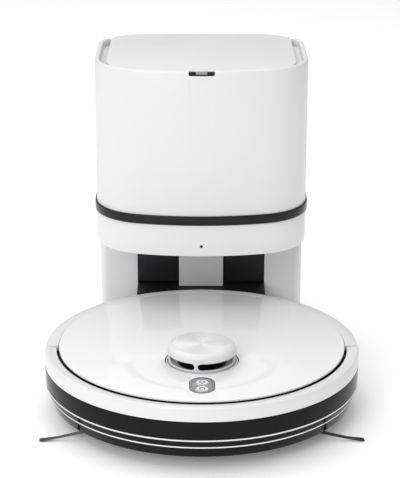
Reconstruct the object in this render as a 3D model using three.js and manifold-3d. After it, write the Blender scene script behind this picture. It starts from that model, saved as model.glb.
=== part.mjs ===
// A disc-shaped robot vacuum standing in its self-emptying station.
// Millimetres, +Z up. The floor is z = 0, the station is behind the robot (+Y), and the
// origin is on the floor in the middle of the whole product's footprint.
import * as THREE from "three";
import { mergeVertices } from "three/addons/utils/BufferGeometryUtils.js";
import Module from "manifold-3d";

const wasm = await Module();
wasm.setup();

// ---- clearances -----------------------------------------------------------------------
const GAP = 0.3; // between two fixed pieces that meet
const RUN = 0.35; // round a shaft or a pin that turns
const SLIDE = 0.4; // round a piece that slides
const CUT = 1; // how far a cutter runs past the face that it opens

// ---- robot: body ----------------------------------------------------------------------
const ROBOT_R = 175; // outer radius of the bumper
const REAR_R = ROBOT_R - 0.6; // the rear shell is a little inside the bumper
const SHELL_TOP = 74;
const UNDERSIDE = 15; // ground clearance
const WALL = 2.4;
const DECK_T = 2.5;
const RIM_R = ROBOT_R - 2.2; // where the top ledge turns down into the wall
const LEDGE_R = RIM_R - 11.2; // inner edge of the bumper's top ledge
const LID_R = LEDGE_R - 3;
const LID_LIP = 2.2; // how far the lid's edge reaches out over its own rim
const LID_LIP_T = 1.1;
const LID_T = 3.2;
const LID_SEAM = 0.9;
const BAND_TOP = 57; // the white bumper ends and the black band starts
const BAND_FOOT = 36; // below this the black band slopes inwards
const FOOT_R = ROBOT_R - 7;
const SKIRT_TOP = 30.5; // top of the black skirt behind the bumper
const SPLIT = 6; // the rear shell starts this far in front of the robot's axis
const BUMPER_TRAVEL = 1.5;
const BUMPER_SEAM = BUMPER_TRAVEL + GAP;
const CHASSIS_R = ROBOT_R - 15; // front wall of the chassis, behind the bumper
const TRIM_DEPTH = 1;
const TRIM_SPAN = 77; // the light loop ends this many degrees from the front
const TRIM_TOP = 36.7;
const TRIM_FOOT = 26.1;
const TRIM_UPPER = 1.6; // thickness of the upper stripe
const TRIM_LOWER = 2;

// ---- robot: turret and buttons --------------------------------------------------------
const TURRET_Y = -49.5;
const TURRET_TOP = 94;
const TURRET_RING_R = 40;
const TURRET_R = TURRET_RING_R - 3.3;
const TURRET_DISC_R = TURRET_R - 4.2;
const TURRET_FOOT = 73;
const TURRET_SLOT_Z = 76.2;
const TURRET_SLOT_H = 8;
const TURRET_POST_W = 3;
const TURRET_POST_TURN = -10; // degrees, first post from the front
const HEAD_R = TURRET_R - 9.7;
const POST_R = 6;
const PAD_W = 27;
const PAD_L = 42;
const PAD_Y = TURRET_Y - TURRET_RING_R - 28.9;
const HOME_Y = PAD_Y + 6.4;
const POWER_Y = PAD_Y - 10.3;
const BUTTON_R = 7.6;
const BUTTON_TRAVEL = 0.8;

// ---- robot: running gear --------------------------------------------------------------
const WHEEL_R = 31;
const WHEEL_W = 18;
const HUB_R = WHEEL_R - 7;
const AXLE_R = 4;
const WHEEL_X = 113;
const WHEEL_Y = 5;
const ARM_REACH = WHEEL_R + 7; // from the wheel's axle back to the arm's pivot
const ARM_T = 5;
const ARM_PIVOT_Z = 38;
const CASTER_Y = -128;
const CASTER_TRAIL = 8;
const CASTER_R = 13;
const CASTER_W = 14;
const CASTER_AXLE_R = 2;
const CASTER_PIVOT_R = 4;
const BRUSH_R = 19;
const BRUSH_LENGTH = 156;
const BRUSH_Y = 45;
const BRUSH_FLOOR = 1.5;
const SIDE_X = 98;
const SIDE_Y = -97;
const SIDE_REACH = 77.5;
const SIDE_HUB_R = 12;
const SIDE_ARM_W = 7;
const SIDE_TIP_Z = 0.6;
const SIDE_ARMS = 2;

// ---- robot: inside --------------------------------------------------------------------
const BIN_X0 = -80;
const BIN_X1 = 46;
const BIN_Y0 = BRUSH_Y + BRUSH_R + 12;
const BIN_Y1 = 138;
const BIN_FOOT = 19;
const BIN_TOP = 64;
const BIN_WALL = 1.8;
const PORT_W = 42; // outlet from the bin, and the port that faces it
const PORT_Z0 = 28;
const PORT_Z1 = 53;
const FLAP_T = 1.4;
const CELL_R = 10;
const CELL_PITCH = 19;
const CELL_LENGTH = 62;
const BATTERY_Y = -98;
const FAN_X = 85;
const FAN_Y = BRUSH_Y + BRUSH_R + 36;
const FAN_R = 28;
const FAN_SHAFT_R = 3;
const FAN_IMPELLER_Z = 36;
const BOARD_Z = 46.5;
const BOARD_TOP = BOARD_Z + 1.6;
const SIDE_MOTOR_R = 13;
const SIDE_MOTOR_TOP = 44;
const SIDE_SHAFT_R = 3.4;

// ---- station --------------------------------------------------------------------------
const STATION_W = 248;
const STATION_D = 213;
const STATION_H = 360;
const DOCK_DEPTH = 75; // how far the docked robot's rear reaches in behind the station's front
const DOCK_REACH = ROBOT_R - DOCK_DEPTH; // from the robot's axis to the station's front
const FRONT_CORNER_R = 66;
const FRONT_BOW_R = 300;
const REAR_CORNER_R = 58;
const SHELL_WALL = 3;
const RIM_W = 5;
const RIM_H = 16;
const OVERHANG_Z = 140.8;
const TRIM_Z0 = 179;
const TRIM_Z1 = 189.7;
const TRIM_PROUD = 2;
const SHELF_Y = DOCK_DEPTH + 2; // front of the docking block, just behind the robot
const COLUMN_Y = SHELF_Y + 41; // front wall of the lower column
const COLUMN_CORNER_R = 9;
const SHELF_Z = 67;
const SHELF_W = 156;
const WINDOW_TOP = 133;
const COVER_W = 54; // light cover between the dark windows
const COVER_Y = COLUMN_Y - 16.5;
const PLATE_T = 4;
const FOOT_H = 1;
const TONGUE_W = 200;
const TONGUE_Y = -20; // front edge of the foot plate under the robot
const CONTACT_X = 32;
const CONTACT_Y = 18;
const CONTACT_TRAVEL = 3;
const CONTACT_W = 9;
const CONTACT_L = 16;

// ---- station: lid and bag bay ---------------------------------------------------------
const CHANNEL_W = 14; // from the body's side to the lid
const LID_CORNER_R = 46;
const LID_REAR = 11.5; // the lid's own outline runs on this far behind the body's back
const LID_FRONT = 6.2; // from the body's front to the lid
const LID_Z0 = STATION_H - 6.8;
const LID_PLATE_T = 5.2;
const CHANNEL_Z = STATION_H - 9;
const CHANNEL_T = 2.5;
const RIM_FALL_Y0 = 178; // the rim falls away from here, for the lid's swing
const RIM_FALL_Y1 = 199; // and is down below the lid from here to the back
const BAY_INSET = 19;
const BAY_FLOOR_Z = 196;
const BAY_WALL = 2;
const BAY_GRILLE = [-90, -40, 70, 130]; // the air's way down to the motor: x0, x1, y0, y1
const HINGE_Y = STATION_D - 2.5;
const HINGE_Z = CHANNEL_Z - 2;
const HINGE_PIN_R = 1.4;
const KNUCKLE_X = 41;
const KNUCKLE_W = 9;
const KNUCKLE_R = 3;
const NOTCH_W = 29;
const NOTCH_H = 5;
const NOTCH_D = 4.6;
const LATCH_W = 13;
const LATCH_D = 2.9;
const LATCH_PROUD = 0.9; // how far the latch stands out in front of the body
const LATCH_TRAVEL = 1.5;
const DUCT_W = 46;
const DUCT_WALL = 2;
const DUCT_REAR = STATION_D - 5.6;
const BAY_REAR = DUCT_REAR - 23.4; // back of the bag's tub, in front of the duct
const DUCT_DEPTH = 21;
const DUCT_TOP = STATION_H - 42;
const MOTOR_X = -68;
const MOTOR_Y = 164;
const MOTOR_R = 38;
const MOTOR_FOOT = 12;
const MOTOR_TOP = 92;
const MOTOR_SHAFT_R = 4;
const MOTOR_SHAFT = 16; // how far the shaft stands out of the motor
const BAG_W = 176;
const BAG_D = 132;
const BAG_ROUND = 18;

// Everything below is placed from these.
const ROBOT_Y = ROBOT_R - (ROBOT_R + DOCK_REACH + STATION_D + TRIM_PROUD) / 2;
const STATION_Y = ROBOT_Y + DOCK_REACH;
const LID_FOOT = SHELL_TOP - LID_T;
const DECK_Z = LID_FOOT - 1.8 - DECK_T;
const DECK_TOP = DECK_Z + DECK_T;
const FLOOR_TOP = UNDERSIDE + WALL;

// ---- shape helpers --------------------------------------------------------------------
const RING_STEPS = 48; // sides of the robot's large round shells
const DRUM_STEPS = 20; // sides of middling round pieces
const SMALL_STEPS = 12;
const TURRET_STEPS = 32;

// A closed three.js geometry as a solid that can be joined and cut.
function solid(geometry) {
  const bare = geometry.clone();
  for (const name of ["normal", "uv"]) bare.deleteAttribute(name);
  const merged = mergeVertices(bare, 1e-3);
  const corners = Array.from(merged.index.array);
  const kept = [];
  for (let i = 0; i < corners.length; i += 3) {
    const [a, b, c] = corners.slice(i, i + 3);
    if (a !== b && b !== c && a !== c) kept.push(a, b, c);
  }
  return new wasm.Manifold(
    new wasm.Mesh({
      numProp: 3,
      vertProperties: merged.attributes.position.array,
      triVerts: new Uint32Array(kept),
    }),
  );
}

const join = (...parts) => parts.reduce((sum, part) => sum.add(part));
const cut = (body, ...tools) => tools.reduce((left, tool) => left.subtract(tool), body);

const block = (x0, x1, y0, y1, z0, z1) =>
  solid(
    new THREE.BoxGeometry(x1 - x0, y1 - y0, z1 - z0).translate(
      (x0 + x1) / 2,
      (y0 + y1) / 2,
      (z0 + z1) / 2,
    ),
  );

const prism = (shape, z0, z1, curveSegments = 5) =>
  solid(
    new THREE.ExtrudeGeometry(shape, {
      depth: z1 - z0,
      bevelEnabled: false,
      curveSegments,
    }).translate(0, 0, z0),
  );

const drum = (r, z0, z1, steps = DRUM_STEPS, x = 0, y = 0) =>
  solid(
    new THREE.CylinderGeometry(r, r, z1 - z0, steps)
      .rotateX(Math.PI / 2)
      .translate(x, y, (z0 + z1) / 2),
  );

const axleX = (r, x0, x1, y, z, steps = DRUM_STEPS) =>
  solid(
    new THREE.CylinderGeometry(r, r, x1 - x0, steps)
      .rotateZ(Math.PI / 2)
      .translate((x0 + x1) / 2, y, z),
  );

const axleY = (r, y0, y1, x, z, steps = SMALL_STEPS) =>
  solid(new THREE.CylinderGeometry(r, r, y1 - y0, steps).translate(x, (y0 + y1) / 2, z));

// A ring or disc turned about Z from a closed list of [radius, height] corners.
function turned(corners, steps = RING_STEPS) {
  const profile = corners.map(([r, z]) => new THREE.Vector2(r, z));
  if (THREE.ShapeUtils.area(profile) < 0) profile.reverse();
  return solid(
    new THREE.LatheGeometry([...profile, profile[0]], steps).rotateX(Math.PI / 2),
  );
}

const tube = (outer, inner, z0, z1, steps = DRUM_STEPS) =>
  turned([[inner, z0], [outer, z0], [outer, z1], [inner, z1]], steps);

// A rectangle with round corners, centred on (x, y).
function roundedShape(w, d, r, x = 0, y = 0) {
  const [right, back] = [w / 2 - r, d / 2 - r];
  const shape = new THREE.Shape();
  shape.absarc(x + right, y + back, r, 0, Math.PI / 2);
  shape.absarc(x - right, y + back, r, Math.PI / 2, Math.PI);
  shape.absarc(x - right, y - back, r, Math.PI, 1.5 * Math.PI);
  shape.absarc(x + right, y - back, r, 1.5 * Math.PI, 2 * Math.PI);
  shape.closePath();
  return shape;
}

// A pie slice that opens towards -Y, to cut a ring down to an arc.
function slice(halfAngle, reach, z0, z1) {
  const half = THREE.MathUtils.degToRad(halfAngle);
  const shape = new THREE.Shape();
  shape.moveTo(0, 0);
  shape.absarc(0, 0, reach, -Math.PI / 2 - half, -Math.PI / 2 + half);
  shape.closePath();
  return prism(shape, z0, z1, 16);
}

const group = (y) => {
  const made = new THREE.Group();
  made.position.y = y;
  return made;
};
const product = new THREE.Group();
const robot = group(ROBOT_Y);
const station = group(STATION_Y);
product.add(robot, station);

// Colour, roughness and metalness of the plastics, rubbers and metals.
const WHITE = [0xf1f1f0, 0.35, 0];
const GLOSS_WHITE = [0xf3f3f2, 0.12, 0];
const LIGHT_GREY = [0xb9b9b9, 0.45, 0];
const MID_GREY = [0x8a8d90, 0.5, 0];
const BLACK = [0x1d1d1e, 0.45, 0];
const GLOSS_BLACK = [0x101011, 0.08, 0];
const RUBBER = [0x232324, 0.85, 0];
const BOARD_GREEN = [0x1f5a3a, 0.5, 0];
const STEEL = [0xb8babd, 0.3, 1];
const COPPER = [0xc9a25a, 0.3, 1];
const PAPER = [0xe9e4da, 0.95, 0];
const FILTER = [0xdcdcd8, 0.9, 0];
const BATTERY_BLUE = [0x2c5f94, 0.4, 0];

// Adds a finished solid to the robot or the station as one named mesh.
function piece(parent, name, made, [color, roughness, metalness], place = [0, 0, 0]) {
  const { vertProperties, triVerts } = made.getMesh();
  const geometry = new THREE.BufferGeometry();
  geometry.setAttribute("position", new THREE.BufferAttribute(vertProperties, 3));
  geometry.setIndex(new THREE.BufferAttribute(triVerts, 1));
  const material = new THREE.MeshStandardMaterial({
    color,
    roughness,
    metalness,
    flatShading: true,
  });
  const mesh = new THREE.Mesh(geometry, material);
  mesh.name = name;
  mesh.position.set(...place);
  parent.add(mesh);
}

const SIDES = [
  ["left", -1],
  ["right", 1],
];
const FAR = 400; // larger than anything that a half-space block has to cover
const TALL = 500;
const behind = (y) => block(-FAR, FAR, y, FAR, -CUT, TALL);
const before = (y) => block(-FAR, FAR, -FAR, y, -CUT, TALL);

// ======================================================================================
// ROBOT
// ======================================================================================

// The port through the rear of the chassis and shell that the bin's outlet looks out of.
const portOpening = () =>
  block(-PORT_W / 2 - 4, PORT_W / 2 + 4, BIN_Y1 + 20, FAR, PORT_Z0 - 2.5, PORT_Z1 + 3);

const binBay = (z0, z1) =>
  block(BIN_X0 - 1.5, BIN_X1 + 1.5, BIN_Y0 - 1.5, BIN_Y1 + 1.5, z0, z1);

const WELL_X0 = WHEEL_X - WHEEL_W / 2 - ARM_T - 4;
const WELL_X1 = WHEEL_X + WHEEL_W / 2 + 4;
const WELL_FRONT = 5; // room in front of the wheel and behind it, where it swings
const WELL_REAR = 15;
const CASTER_CUP_R = CASTER_TRAIL + CASTER_R + 3;
const CASTER_CUP_Z = 36;
const BRUSH_BAY_W = BRUSH_LENGTH + 12;
const BRUSH_BAY_R = BRUSH_R + 4;
const BRUSH_BAY_Z = BRUSH_FLOOR + 2 * BRUSH_R + 5.5;

// A box in the wheel well's place, on one side of the robot.
function wheelWell(side, grow, z0, z1) {
  const ends = [side * (WELL_X0 - grow), side * (WELL_X1 + grow)];
  return block(
    Math.min(...ends),
    Math.max(...ends),
    WHEEL_Y - WHEEL_R - WELL_FRONT - grow,
    WHEEL_Y + WHEEL_R + WELL_REAR + grow,
    z0,
    z1,
  );
}

const brushBay = (grow, z0, z1) =>
  block(
    -BRUSH_BAY_W / 2 - grow,
    BRUSH_BAY_W / 2 + grow,
    BRUSH_Y - BRUSH_BAY_R - grow,
    BRUSH_Y + BRUSH_BAY_R + grow,
    z0,
    z1,
  );

const INNER_REAR_R = REAR_R - WALL - 0.7; // outside of the chassis wall, inside the rear shell

// The black tub that carries everything: a flat floor, a low wall and the wells.
function chassis() {
  const rearOuter = turned([
    [0, UNDERSIDE],
    [FOOT_R, UNDERSIDE],
    [REAR_R - GAP, SKIRT_TOP],
    [INNER_REAR_R, SKIRT_TOP],
    [INNER_REAR_R, DECK_Z - GAP],
    [0, DECK_Z - GAP],
  ]);
  const frontOuter = turned([
    [0, UNDERSIDE],
    [CHASSIS_R - WALL, UNDERSIDE],
    [CHASSIS_R, FLOOR_TOP],
    [CHASSIS_R, DECK_Z - GAP],
    [0, DECK_Z - GAP],
  ]);
  const rearInner = turned([
    [0, FLOOR_TOP],
    [FOOT_R - WALL, FLOOR_TOP],
    [INNER_REAR_R - WALL, SKIRT_TOP],
    [INNER_REAR_R - WALL, DECK_Z + CUT],
    [0, DECK_Z + CUT],
  ]);
  const frontInner = drum(CHASSIS_R - WALL, FLOOR_TOP, DECK_Z + CUT, RING_STEPS);
  const envelope = join(rearOuter.intersect(behind(-SPLIT)), frontOuter);
  const hull = cut(envelope, rearInner.intersect(behind(-SPLIT + WALL)), frontInner);
  const wells = SIDES.map(([, side]) => wheelWell(side, WALL, UNDERSIDE, DECK_Z - GAP));
  const wellHoles = SIDES.map(([, side]) =>
    wheelWell(side, 0, UNDERSIDE - CUT, DECK_Z - GAP - WALL),
  );
  const cup = drum(CASTER_CUP_R + WALL, UNDERSIDE, CASTER_CUP_Z + WALL, DRUM_STEPS, 0, CASTER_Y);
  const cupHole = drum(CASTER_CUP_R, UNDERSIDE - CUT, CASTER_CUP_Z, DRUM_STEPS, 0, CASTER_Y);
  const pivotHole = drum(
    CASTER_PIVOT_R + RUN,
    CASTER_CUP_Z - CUT,
    CASTER_CUP_Z + WALL + CUT,
    SMALL_STEPS,
    0,
    CASTER_Y,
  );
  const shaftHoles = SIDES.map(([, side]) =>
    drum(SIDE_SHAFT_R + 1.6, UNDERSIDE - CUT, FLOOR_TOP + CUT, SMALL_STEPS, side * SIDE_X, SIDE_Y),
  );
  const bay = brushBay(WALL, UNDERSIDE, BRUSH_BAY_Z + WALL);
  const bayHole = brushBay(0, UNDERSIDE - CUT, BRUSH_BAY_Z);
  const inlet = block(-30, 20, BRUSH_Y, BIN_Y0 - 1.6, 24.5, 41);
  const body = join(hull, ...wells.map((well) => well.intersect(envelope)), cup, bay);
  return cut(
    body,
    ...wellHoles,
    cupHole,
    pivotHole,
    ...shaftHoles,
    bayHole,
    inlet,
    portOpening(),
  );
}

// The white rear shell with the deck that closes the chassis from above.
function upperCover() {
  const inner = LID_R + LID_SEAM;
  const rim = turned([
    [REAR_R - WALL, SKIRT_TOP + 0.5],
    [REAR_R, SKIRT_TOP + 0.5],
    [REAR_R, SHELL_TOP - 3.4],
    [RIM_R - 0.6, SHELL_TOP - 0.9],
    [inner, SHELL_TOP - 0.5],
    [inner, DECK_Z],
    [REAR_R - WALL, DECK_Z],
  ]).intersect(behind(-SPLIT));
  const deck = drum(CHASSIS_R - 0.5, DECK_Z, DECK_TOP, RING_STEPS);
  const rearDeck = drum(inner + CUT, DECK_Z, DECK_TOP, RING_STEPS).intersect(behind(-SPLIT));
  const post = drum(POST_R + 5, DECK_Z - CUT, DECK_TOP + CUT, DRUM_STEPS, 0, TURRET_Y);
  return cut(join(rim, deck, rearDeck), post, binBay(DECK_Z - CUT, DECK_TOP + CUT), portOpening());
}

// The bumper's white top half: a ledge round the lid and a wall down to the black band.
const bumperSector = () => before(-SPLIT - BUMPER_SEAM);
function bumperShell() {
  return turned([
    [LEDGE_R, SHELL_TOP - 5.2],
    [RIM_R - 2, SHELL_TOP - 5.2],
    [ROBOT_R - WALL, SHELL_TOP - 7],
    [ROBOT_R - WALL, BAND_TOP + GAP],
    [ROBOT_R, BAND_TOP + GAP],
    [ROBOT_R, SHELL_TOP - 4],
    [ROBOT_R - 0.7, SHELL_TOP - 1.8],
    [RIM_R, SHELL_TOP - 0.7],
    [LEDGE_R, SHELL_TOP - 1.5],
  ]).intersect(bumperSector());
}

// Outside radius of the black band at a height.
const bandRadius = (z) =>
  z > BAND_FOOT
    ? ROBOT_R
    : FOOT_R + ((ROBOT_R - FOOT_R) * (z - UNDERSIDE)) / (BAND_FOOT - UNDERSIDE);

// A skin of the black band, from one depth below its surface to another.
function bandSkin(outerDepth, innerDepth, z0, z1) {
  const heights = [z0, ...(z0 < BAND_FOOT && BAND_FOOT < z1 ? [BAND_FOOT] : []), z1];
  const outer = heights.map((z) => [bandRadius(z) - outerDepth, z]);
  const inner = heights.map((z) => [bandRadius(z) - innerDepth, z]).reverse();
  return turned([...outer, ...inner]);
}

// The long closed loop of two light stripes in the black band, grown by a clearance.
function stripeLoop(grow, outerDepth) {
  const reach = ROBOT_R + FAR;
  const ring = bandSkin(outerDepth, TRIM_DEPTH + grow, TRIM_FOOT - grow, TRIM_TOP + grow);
  const span = slice(TRIM_SPAN + grow / 3, reach, 0, BAND_TOP);
  const hole = slice(
    TRIM_SPAN - 0.8 - grow / 3,
    reach,
    TRIM_FOOT + TRIM_LOWER + grow,
    TRIM_TOP - TRIM_UPPER - grow,
  );
  return cut(ring.intersect(span), hole);
}

const bumperWindow = () =>
  cut(bandSkin(0, WALL, UNDERSIDE, BAND_TOP).intersect(bumperSector()), stripeLoop(GAP, -1));

const stadium = (w, l, y) => roundedShape(w, l, w / 2 - 0.01, 0, y);

// The glossy round lid, with a hole for the turret and one for the button pad.
const topPlate = () =>
  cut(
    turned([
      [0, LID_FOOT],
      [LID_R - LID_LIP, LID_FOOT],
      [LID_R - LID_LIP, SHELL_TOP - LID_LIP_T],
      [LID_R, SHELL_TOP - LID_LIP_T],
      [LID_R, SHELL_TOP - 0.4],
      [LID_R - 0.4, SHELL_TOP],
      [0, SHELL_TOP],
    ]),
    drum(TURRET_RING_R + GAP, LID_FOOT - CUT, SHELL_TOP + CUT, TURRET_STEPS, 0, TURRET_Y),
    prism(stadium(PAD_W + 2 * GAP, PAD_L + 2 * GAP, PAD_Y), LID_FOOT - CUT, SHELL_TOP + CUT),
  );

const buttonPad = () =>
  cut(
    prism(stadium(PAD_W, PAD_L, PAD_Y), DECK_TOP + GAP, SHELL_TOP + GAP),
    ...[HOME_Y, POWER_Y].map((y) =>
      drum(BUTTON_R + SLIDE, DECK_TOP + 1.2, SHELL_TOP + CUT, 24, 0, y),
    ),
  );

const BUTTON_FOOT = DECK_TOP + 1.2 + BUTTON_TRAVEL + GAP;
const button = () =>
  turned(
    [
      [0, BUTTON_FOOT],
      [BUTTON_R, BUTTON_FOOT],
      [BUTTON_R, SHELL_TOP + 0.4],
      [BUTTON_R - 0.6, SHELL_TOP + 0.9],
      [0, SHELL_TOP + 0.9],
    ],
    24,
  );

// The fixed base of the turret: a dish with a light rim and a bearing post in the middle.
const DISH_FLOOR = DECK_TOP + 1.6;
const lidarBase = () =>
  turned(
    [
      [0, DECK_Z - 8],
      [POST_R + 4, DECK_Z - 8],
      [POST_R + 4, DECK_TOP + GAP],
      [TURRET_RING_R, DECK_TOP + GAP],
      [TURRET_RING_R, SHELL_TOP + 0.8],
      [TURRET_RING_R - 2.2, SHELL_TOP + 0.8],
      [TURRET_RING_R - 2.2, DISH_FLOOR],
      [POST_R, DISH_FLOOR],
      [POST_R, DISH_FLOOR + 6],
      [0, DISH_FLOOR + 6],
    ],
    TURRET_STEPS,
  );

// The laser head that spins inside the turret, with its two lens holes.
function lidarHead() {
  const foot = DISH_FLOOR + 1.5;
  const body = turned(
    [
      [POST_R + RUN, foot],
      [HEAD_R, foot],
      [HEAD_R, 86],
      [0, 86],
      [0, foot + 5.5],
      [POST_R + RUN, foot + 5.5],
    ],
    DRUM_STEPS,
  );
  const lens = (x, r) => axleY(r, -HEAD_R - CUT, -HEAD_R + 9, x, 80.4);
  return cut(body, lens(-11, 3.4), lens(8, 4.2));
}

// The turret's cap: a disc on a wall that is open in four long slots between four posts.
function turretCover() {
  const shell = turned(
    [
      [TURRET_R - 2.2, TURRET_FOOT],
      [TURRET_R - 0.8, TURRET_FOOT],
      [TURRET_R, 87.5],
      [TURRET_R - 0.8, 90],
      [TURRET_DISC_R, TURRET_TOP - 0.6],
      [TURRET_DISC_R - 0.8, TURRET_TOP],
      [0, TURRET_TOP],
      [0, TURRET_TOP - 2.4],
      [TURRET_DISC_R - 2, TURRET_TOP - 2.4],
      [TURRET_R - 3, 88],
    ],
    TURRET_STEPS,
  );
  const slots = tube(
    TURRET_R + 2,
    TURRET_R - 6,
    TURRET_SLOT_Z,
    TURRET_SLOT_Z + TURRET_SLOT_H,
    TURRET_STEPS,
  );
  const half = TURRET_POST_W / 2;
  const posts = join(
    block(-half, half, -FAR, FAR, 0, TALL),
    block(-FAR, FAR, -half, half, 0, TALL),
  ).rotate([0, 0, TURRET_POST_TURN]);
  return cut(shell, cut(slots, posts));
}

// Four cells side by side in one sleeve.
const battery = () =>
  join(
    ...[-1.5, -0.5, 0.5, 1.5].flatMap((n) => [
      axleY(CELL_R, BATTERY_Y, BATTERY_Y + CELL_LENGTH, n * CELL_PITCH, FLOOR_TOP + CELL_R + GAP),
    ]),
    block(
      -1.5 * CELL_PITCH,
      1.5 * CELL_PITCH,
      BATTERY_Y,
      BATTERY_Y + CELL_LENGTH,
      FLOOR_TOP + GAP,
      FLOOR_TOP + CELL_R,
    ),
  );

const mainBoard = () =>
  join(
    block(-62, 62, -96, 8, BOARD_Z, BOARD_TOP),
    block(-30, -12, -88, -72, BOARD_TOP - 0.1, BOARD_TOP + 2.9),
    block(8, 22, -84, -74, BOARD_TOP - 0.1, BOARD_TOP + 2.3),
    block(34, 54, -60, -34, BOARD_TOP - 0.1, BOARD_TOP + 5.9),
    block(-50, -36, -20, 2, BOARD_TOP - 0.1, BOARD_TOP + 6.9),
  );

// The dust bin: open towards the main brush in front, and towards the station behind.
function dustBin() {
  const half = PORT_W / 2;
  const outletEnd = REAR_R - 6.6;
  const outer = join(
    block(BIN_X0, BIN_X1, BIN_Y0, BIN_Y1, BIN_FOOT, BIN_TOP),
    block(-half, half, BIN_Y1 - CUT, outletEnd, PORT_Z0, PORT_Z1),
  );
  const inner = block(
    BIN_X0 + BIN_WALL,
    BIN_X1 - BIN_WALL,
    BIN_Y0 + BIN_WALL,
    BIN_Y1 - BIN_WALL,
    BIN_FOOT + BIN_WALL,
    BIN_TOP - BIN_WALL,
  );
  const outlet = block(
    -half + BIN_WALL,
    half - BIN_WALL,
    BIN_Y1 - 3 * BIN_WALL,
    outletEnd + CUT,
    PORT_Z0 + BIN_WALL,
    PORT_Z1 - BIN_WALL,
  );
  const inlet = block(-28, 18, BIN_Y0 - CUT, BIN_Y0 + 2 * BIN_WALL, 26, 40);
  const toFan = block(BIN_X1 - 2 * BIN_WALL, BIN_X1 + CUT, FAN_Y - 8, FAN_Y + 8, 44, 54);
  return cut(outer, inner, outlet, inlet, toFan);
}

// The hinged flap over the bin's outlet, with its pin along the top edge.
const FLAP_Y = REAR_R - 6.6 + 0.4;
const FLAP_HINGE_Z = PORT_Z1 - 0.6;
const FLAP_HINGE_Y = FLAP_Y + FLAP_T / 2;
const binFlap = () =>
  join(
    block(-PORT_W / 2 + 1, PORT_W / 2 - 1, FLAP_Y, FLAP_Y + FLAP_T, PORT_Z0 + 1, FLAP_HINGE_Z),
    axleX(1, -PORT_W / 2 + 1, PORT_W / 2 - 1, FLAP_HINGE_Y, FLAP_HINGE_Z, 10),
  );

const binFilter = () =>
  block(BIN_X1 - BIN_WALL - 10, BIN_X1 - BIN_WALL - GAP, FAN_Y - 14, FAN_Y + 14, 38, 60);

// The suction fan's scroll, open to the bin on one side and to the rear on the other.
const FAN_Z0 = FLOOR_TOP + GAP;
const FAN_Z1 = 60;
function fanHousing() {
  const eye = block(BIN_X1, FAN_X - 8, FAN_Y - 8, FAN_Y + 8, 44, 54);
  const outer = join(
    drum(FAN_R, FAN_Z0, FAN_Z1, DRUM_STEPS, FAN_X, FAN_Y),
    block(BIN_X1 + 1, FAN_X, FAN_Y - 10, FAN_Y + 10, 42, 56),
    block(FAN_X - 4, FAN_X + 16, FAN_Y, FAN_Y + 30, 22, 36),
  );
  const inner = drum(FAN_R - 2, FAN_Z0 + 2, FAN_Z1 - 2, DRUM_STEPS, FAN_X, FAN_Y);
  const exhaust = block(FAN_X - 2, FAN_X + 14, FAN_Y, FAN_Y + 30 + CUT, 24, 34);
  const spindle = drum(
    FAN_SHAFT_R,
    FAN_Z0 + CUT,
    FAN_IMPELLER_Z - 2,
    SMALL_STEPS,
    FAN_X,
    FAN_Y,
  );
  return join(cut(outer, inner, eye, exhaust), spindle);
}

// A hub disc with upright blades, bored for its shaft.
function impeller(r, bore, height, blades) {
  const hub = turned(
    [
      [0, 0],
      [r, 0],
      [r, 1.5],
      [bore + 3, 3],
      [bore + 2, height],
      [0, height],
    ],
    SMALL_STEPS,
  );
  const blade = (n) =>
    block(bore + 1, r - 0.5, -0.6, 0.6, 1, height - 1)
      .rotate([0, 0, -20])
      .rotate([0, 0, (360 * n) / blades]);
  const all = Array.from({ length: blades }, (_, n) => blade(n));
  return cut(join(hub, ...all), drum(bore, -CUT, height - 2, SMALL_STEPS));
}

// The main brush: a core with bristle and rubber strips, turning about X.
function mainBrush() {
  const half = BRUSH_LENGTH / 2;
  const core = axleX(11, -half, half, 0, 0, 20);
  const strip = (n) =>
    block(-half + 4, half - 4, -1.6, 1.6, 9, BRUSH_R).rotate([60 * n, 0, 0]);
  const ends = axleX(3.5, -half - 3, half + 3, 0, 0, 12);
  return join(core, ends, ...[0, 1, 2, 3, 4, 5].map(strip));
}

// The frame that holds the brush from below, with bars across its opening.
function brushGuard() {
  const [z0, z1] = [UNDERSIDE - 1.5, UNDERSIDE - GAP];
  const frame = block(
    -BRUSH_BAY_W / 2 - 8,
    BRUSH_BAY_W / 2 + 8,
    BRUSH_Y - BRUSH_BAY_R - 7,
    BRUSH_Y + BRUSH_BAY_R + 5,
    z0,
    z1,
  );
  const opening = block(
    -BRUSH_LENGTH / 2 - 4,
    BRUSH_LENGTH / 2 + 4,
    BRUSH_Y - BRUSH_BAY_R,
    BRUSH_Y + BRUSH_BAY_R,
    z0 - CUT,
    z1 + CUT,
  );
  return cut(frame, opening);
}

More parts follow.
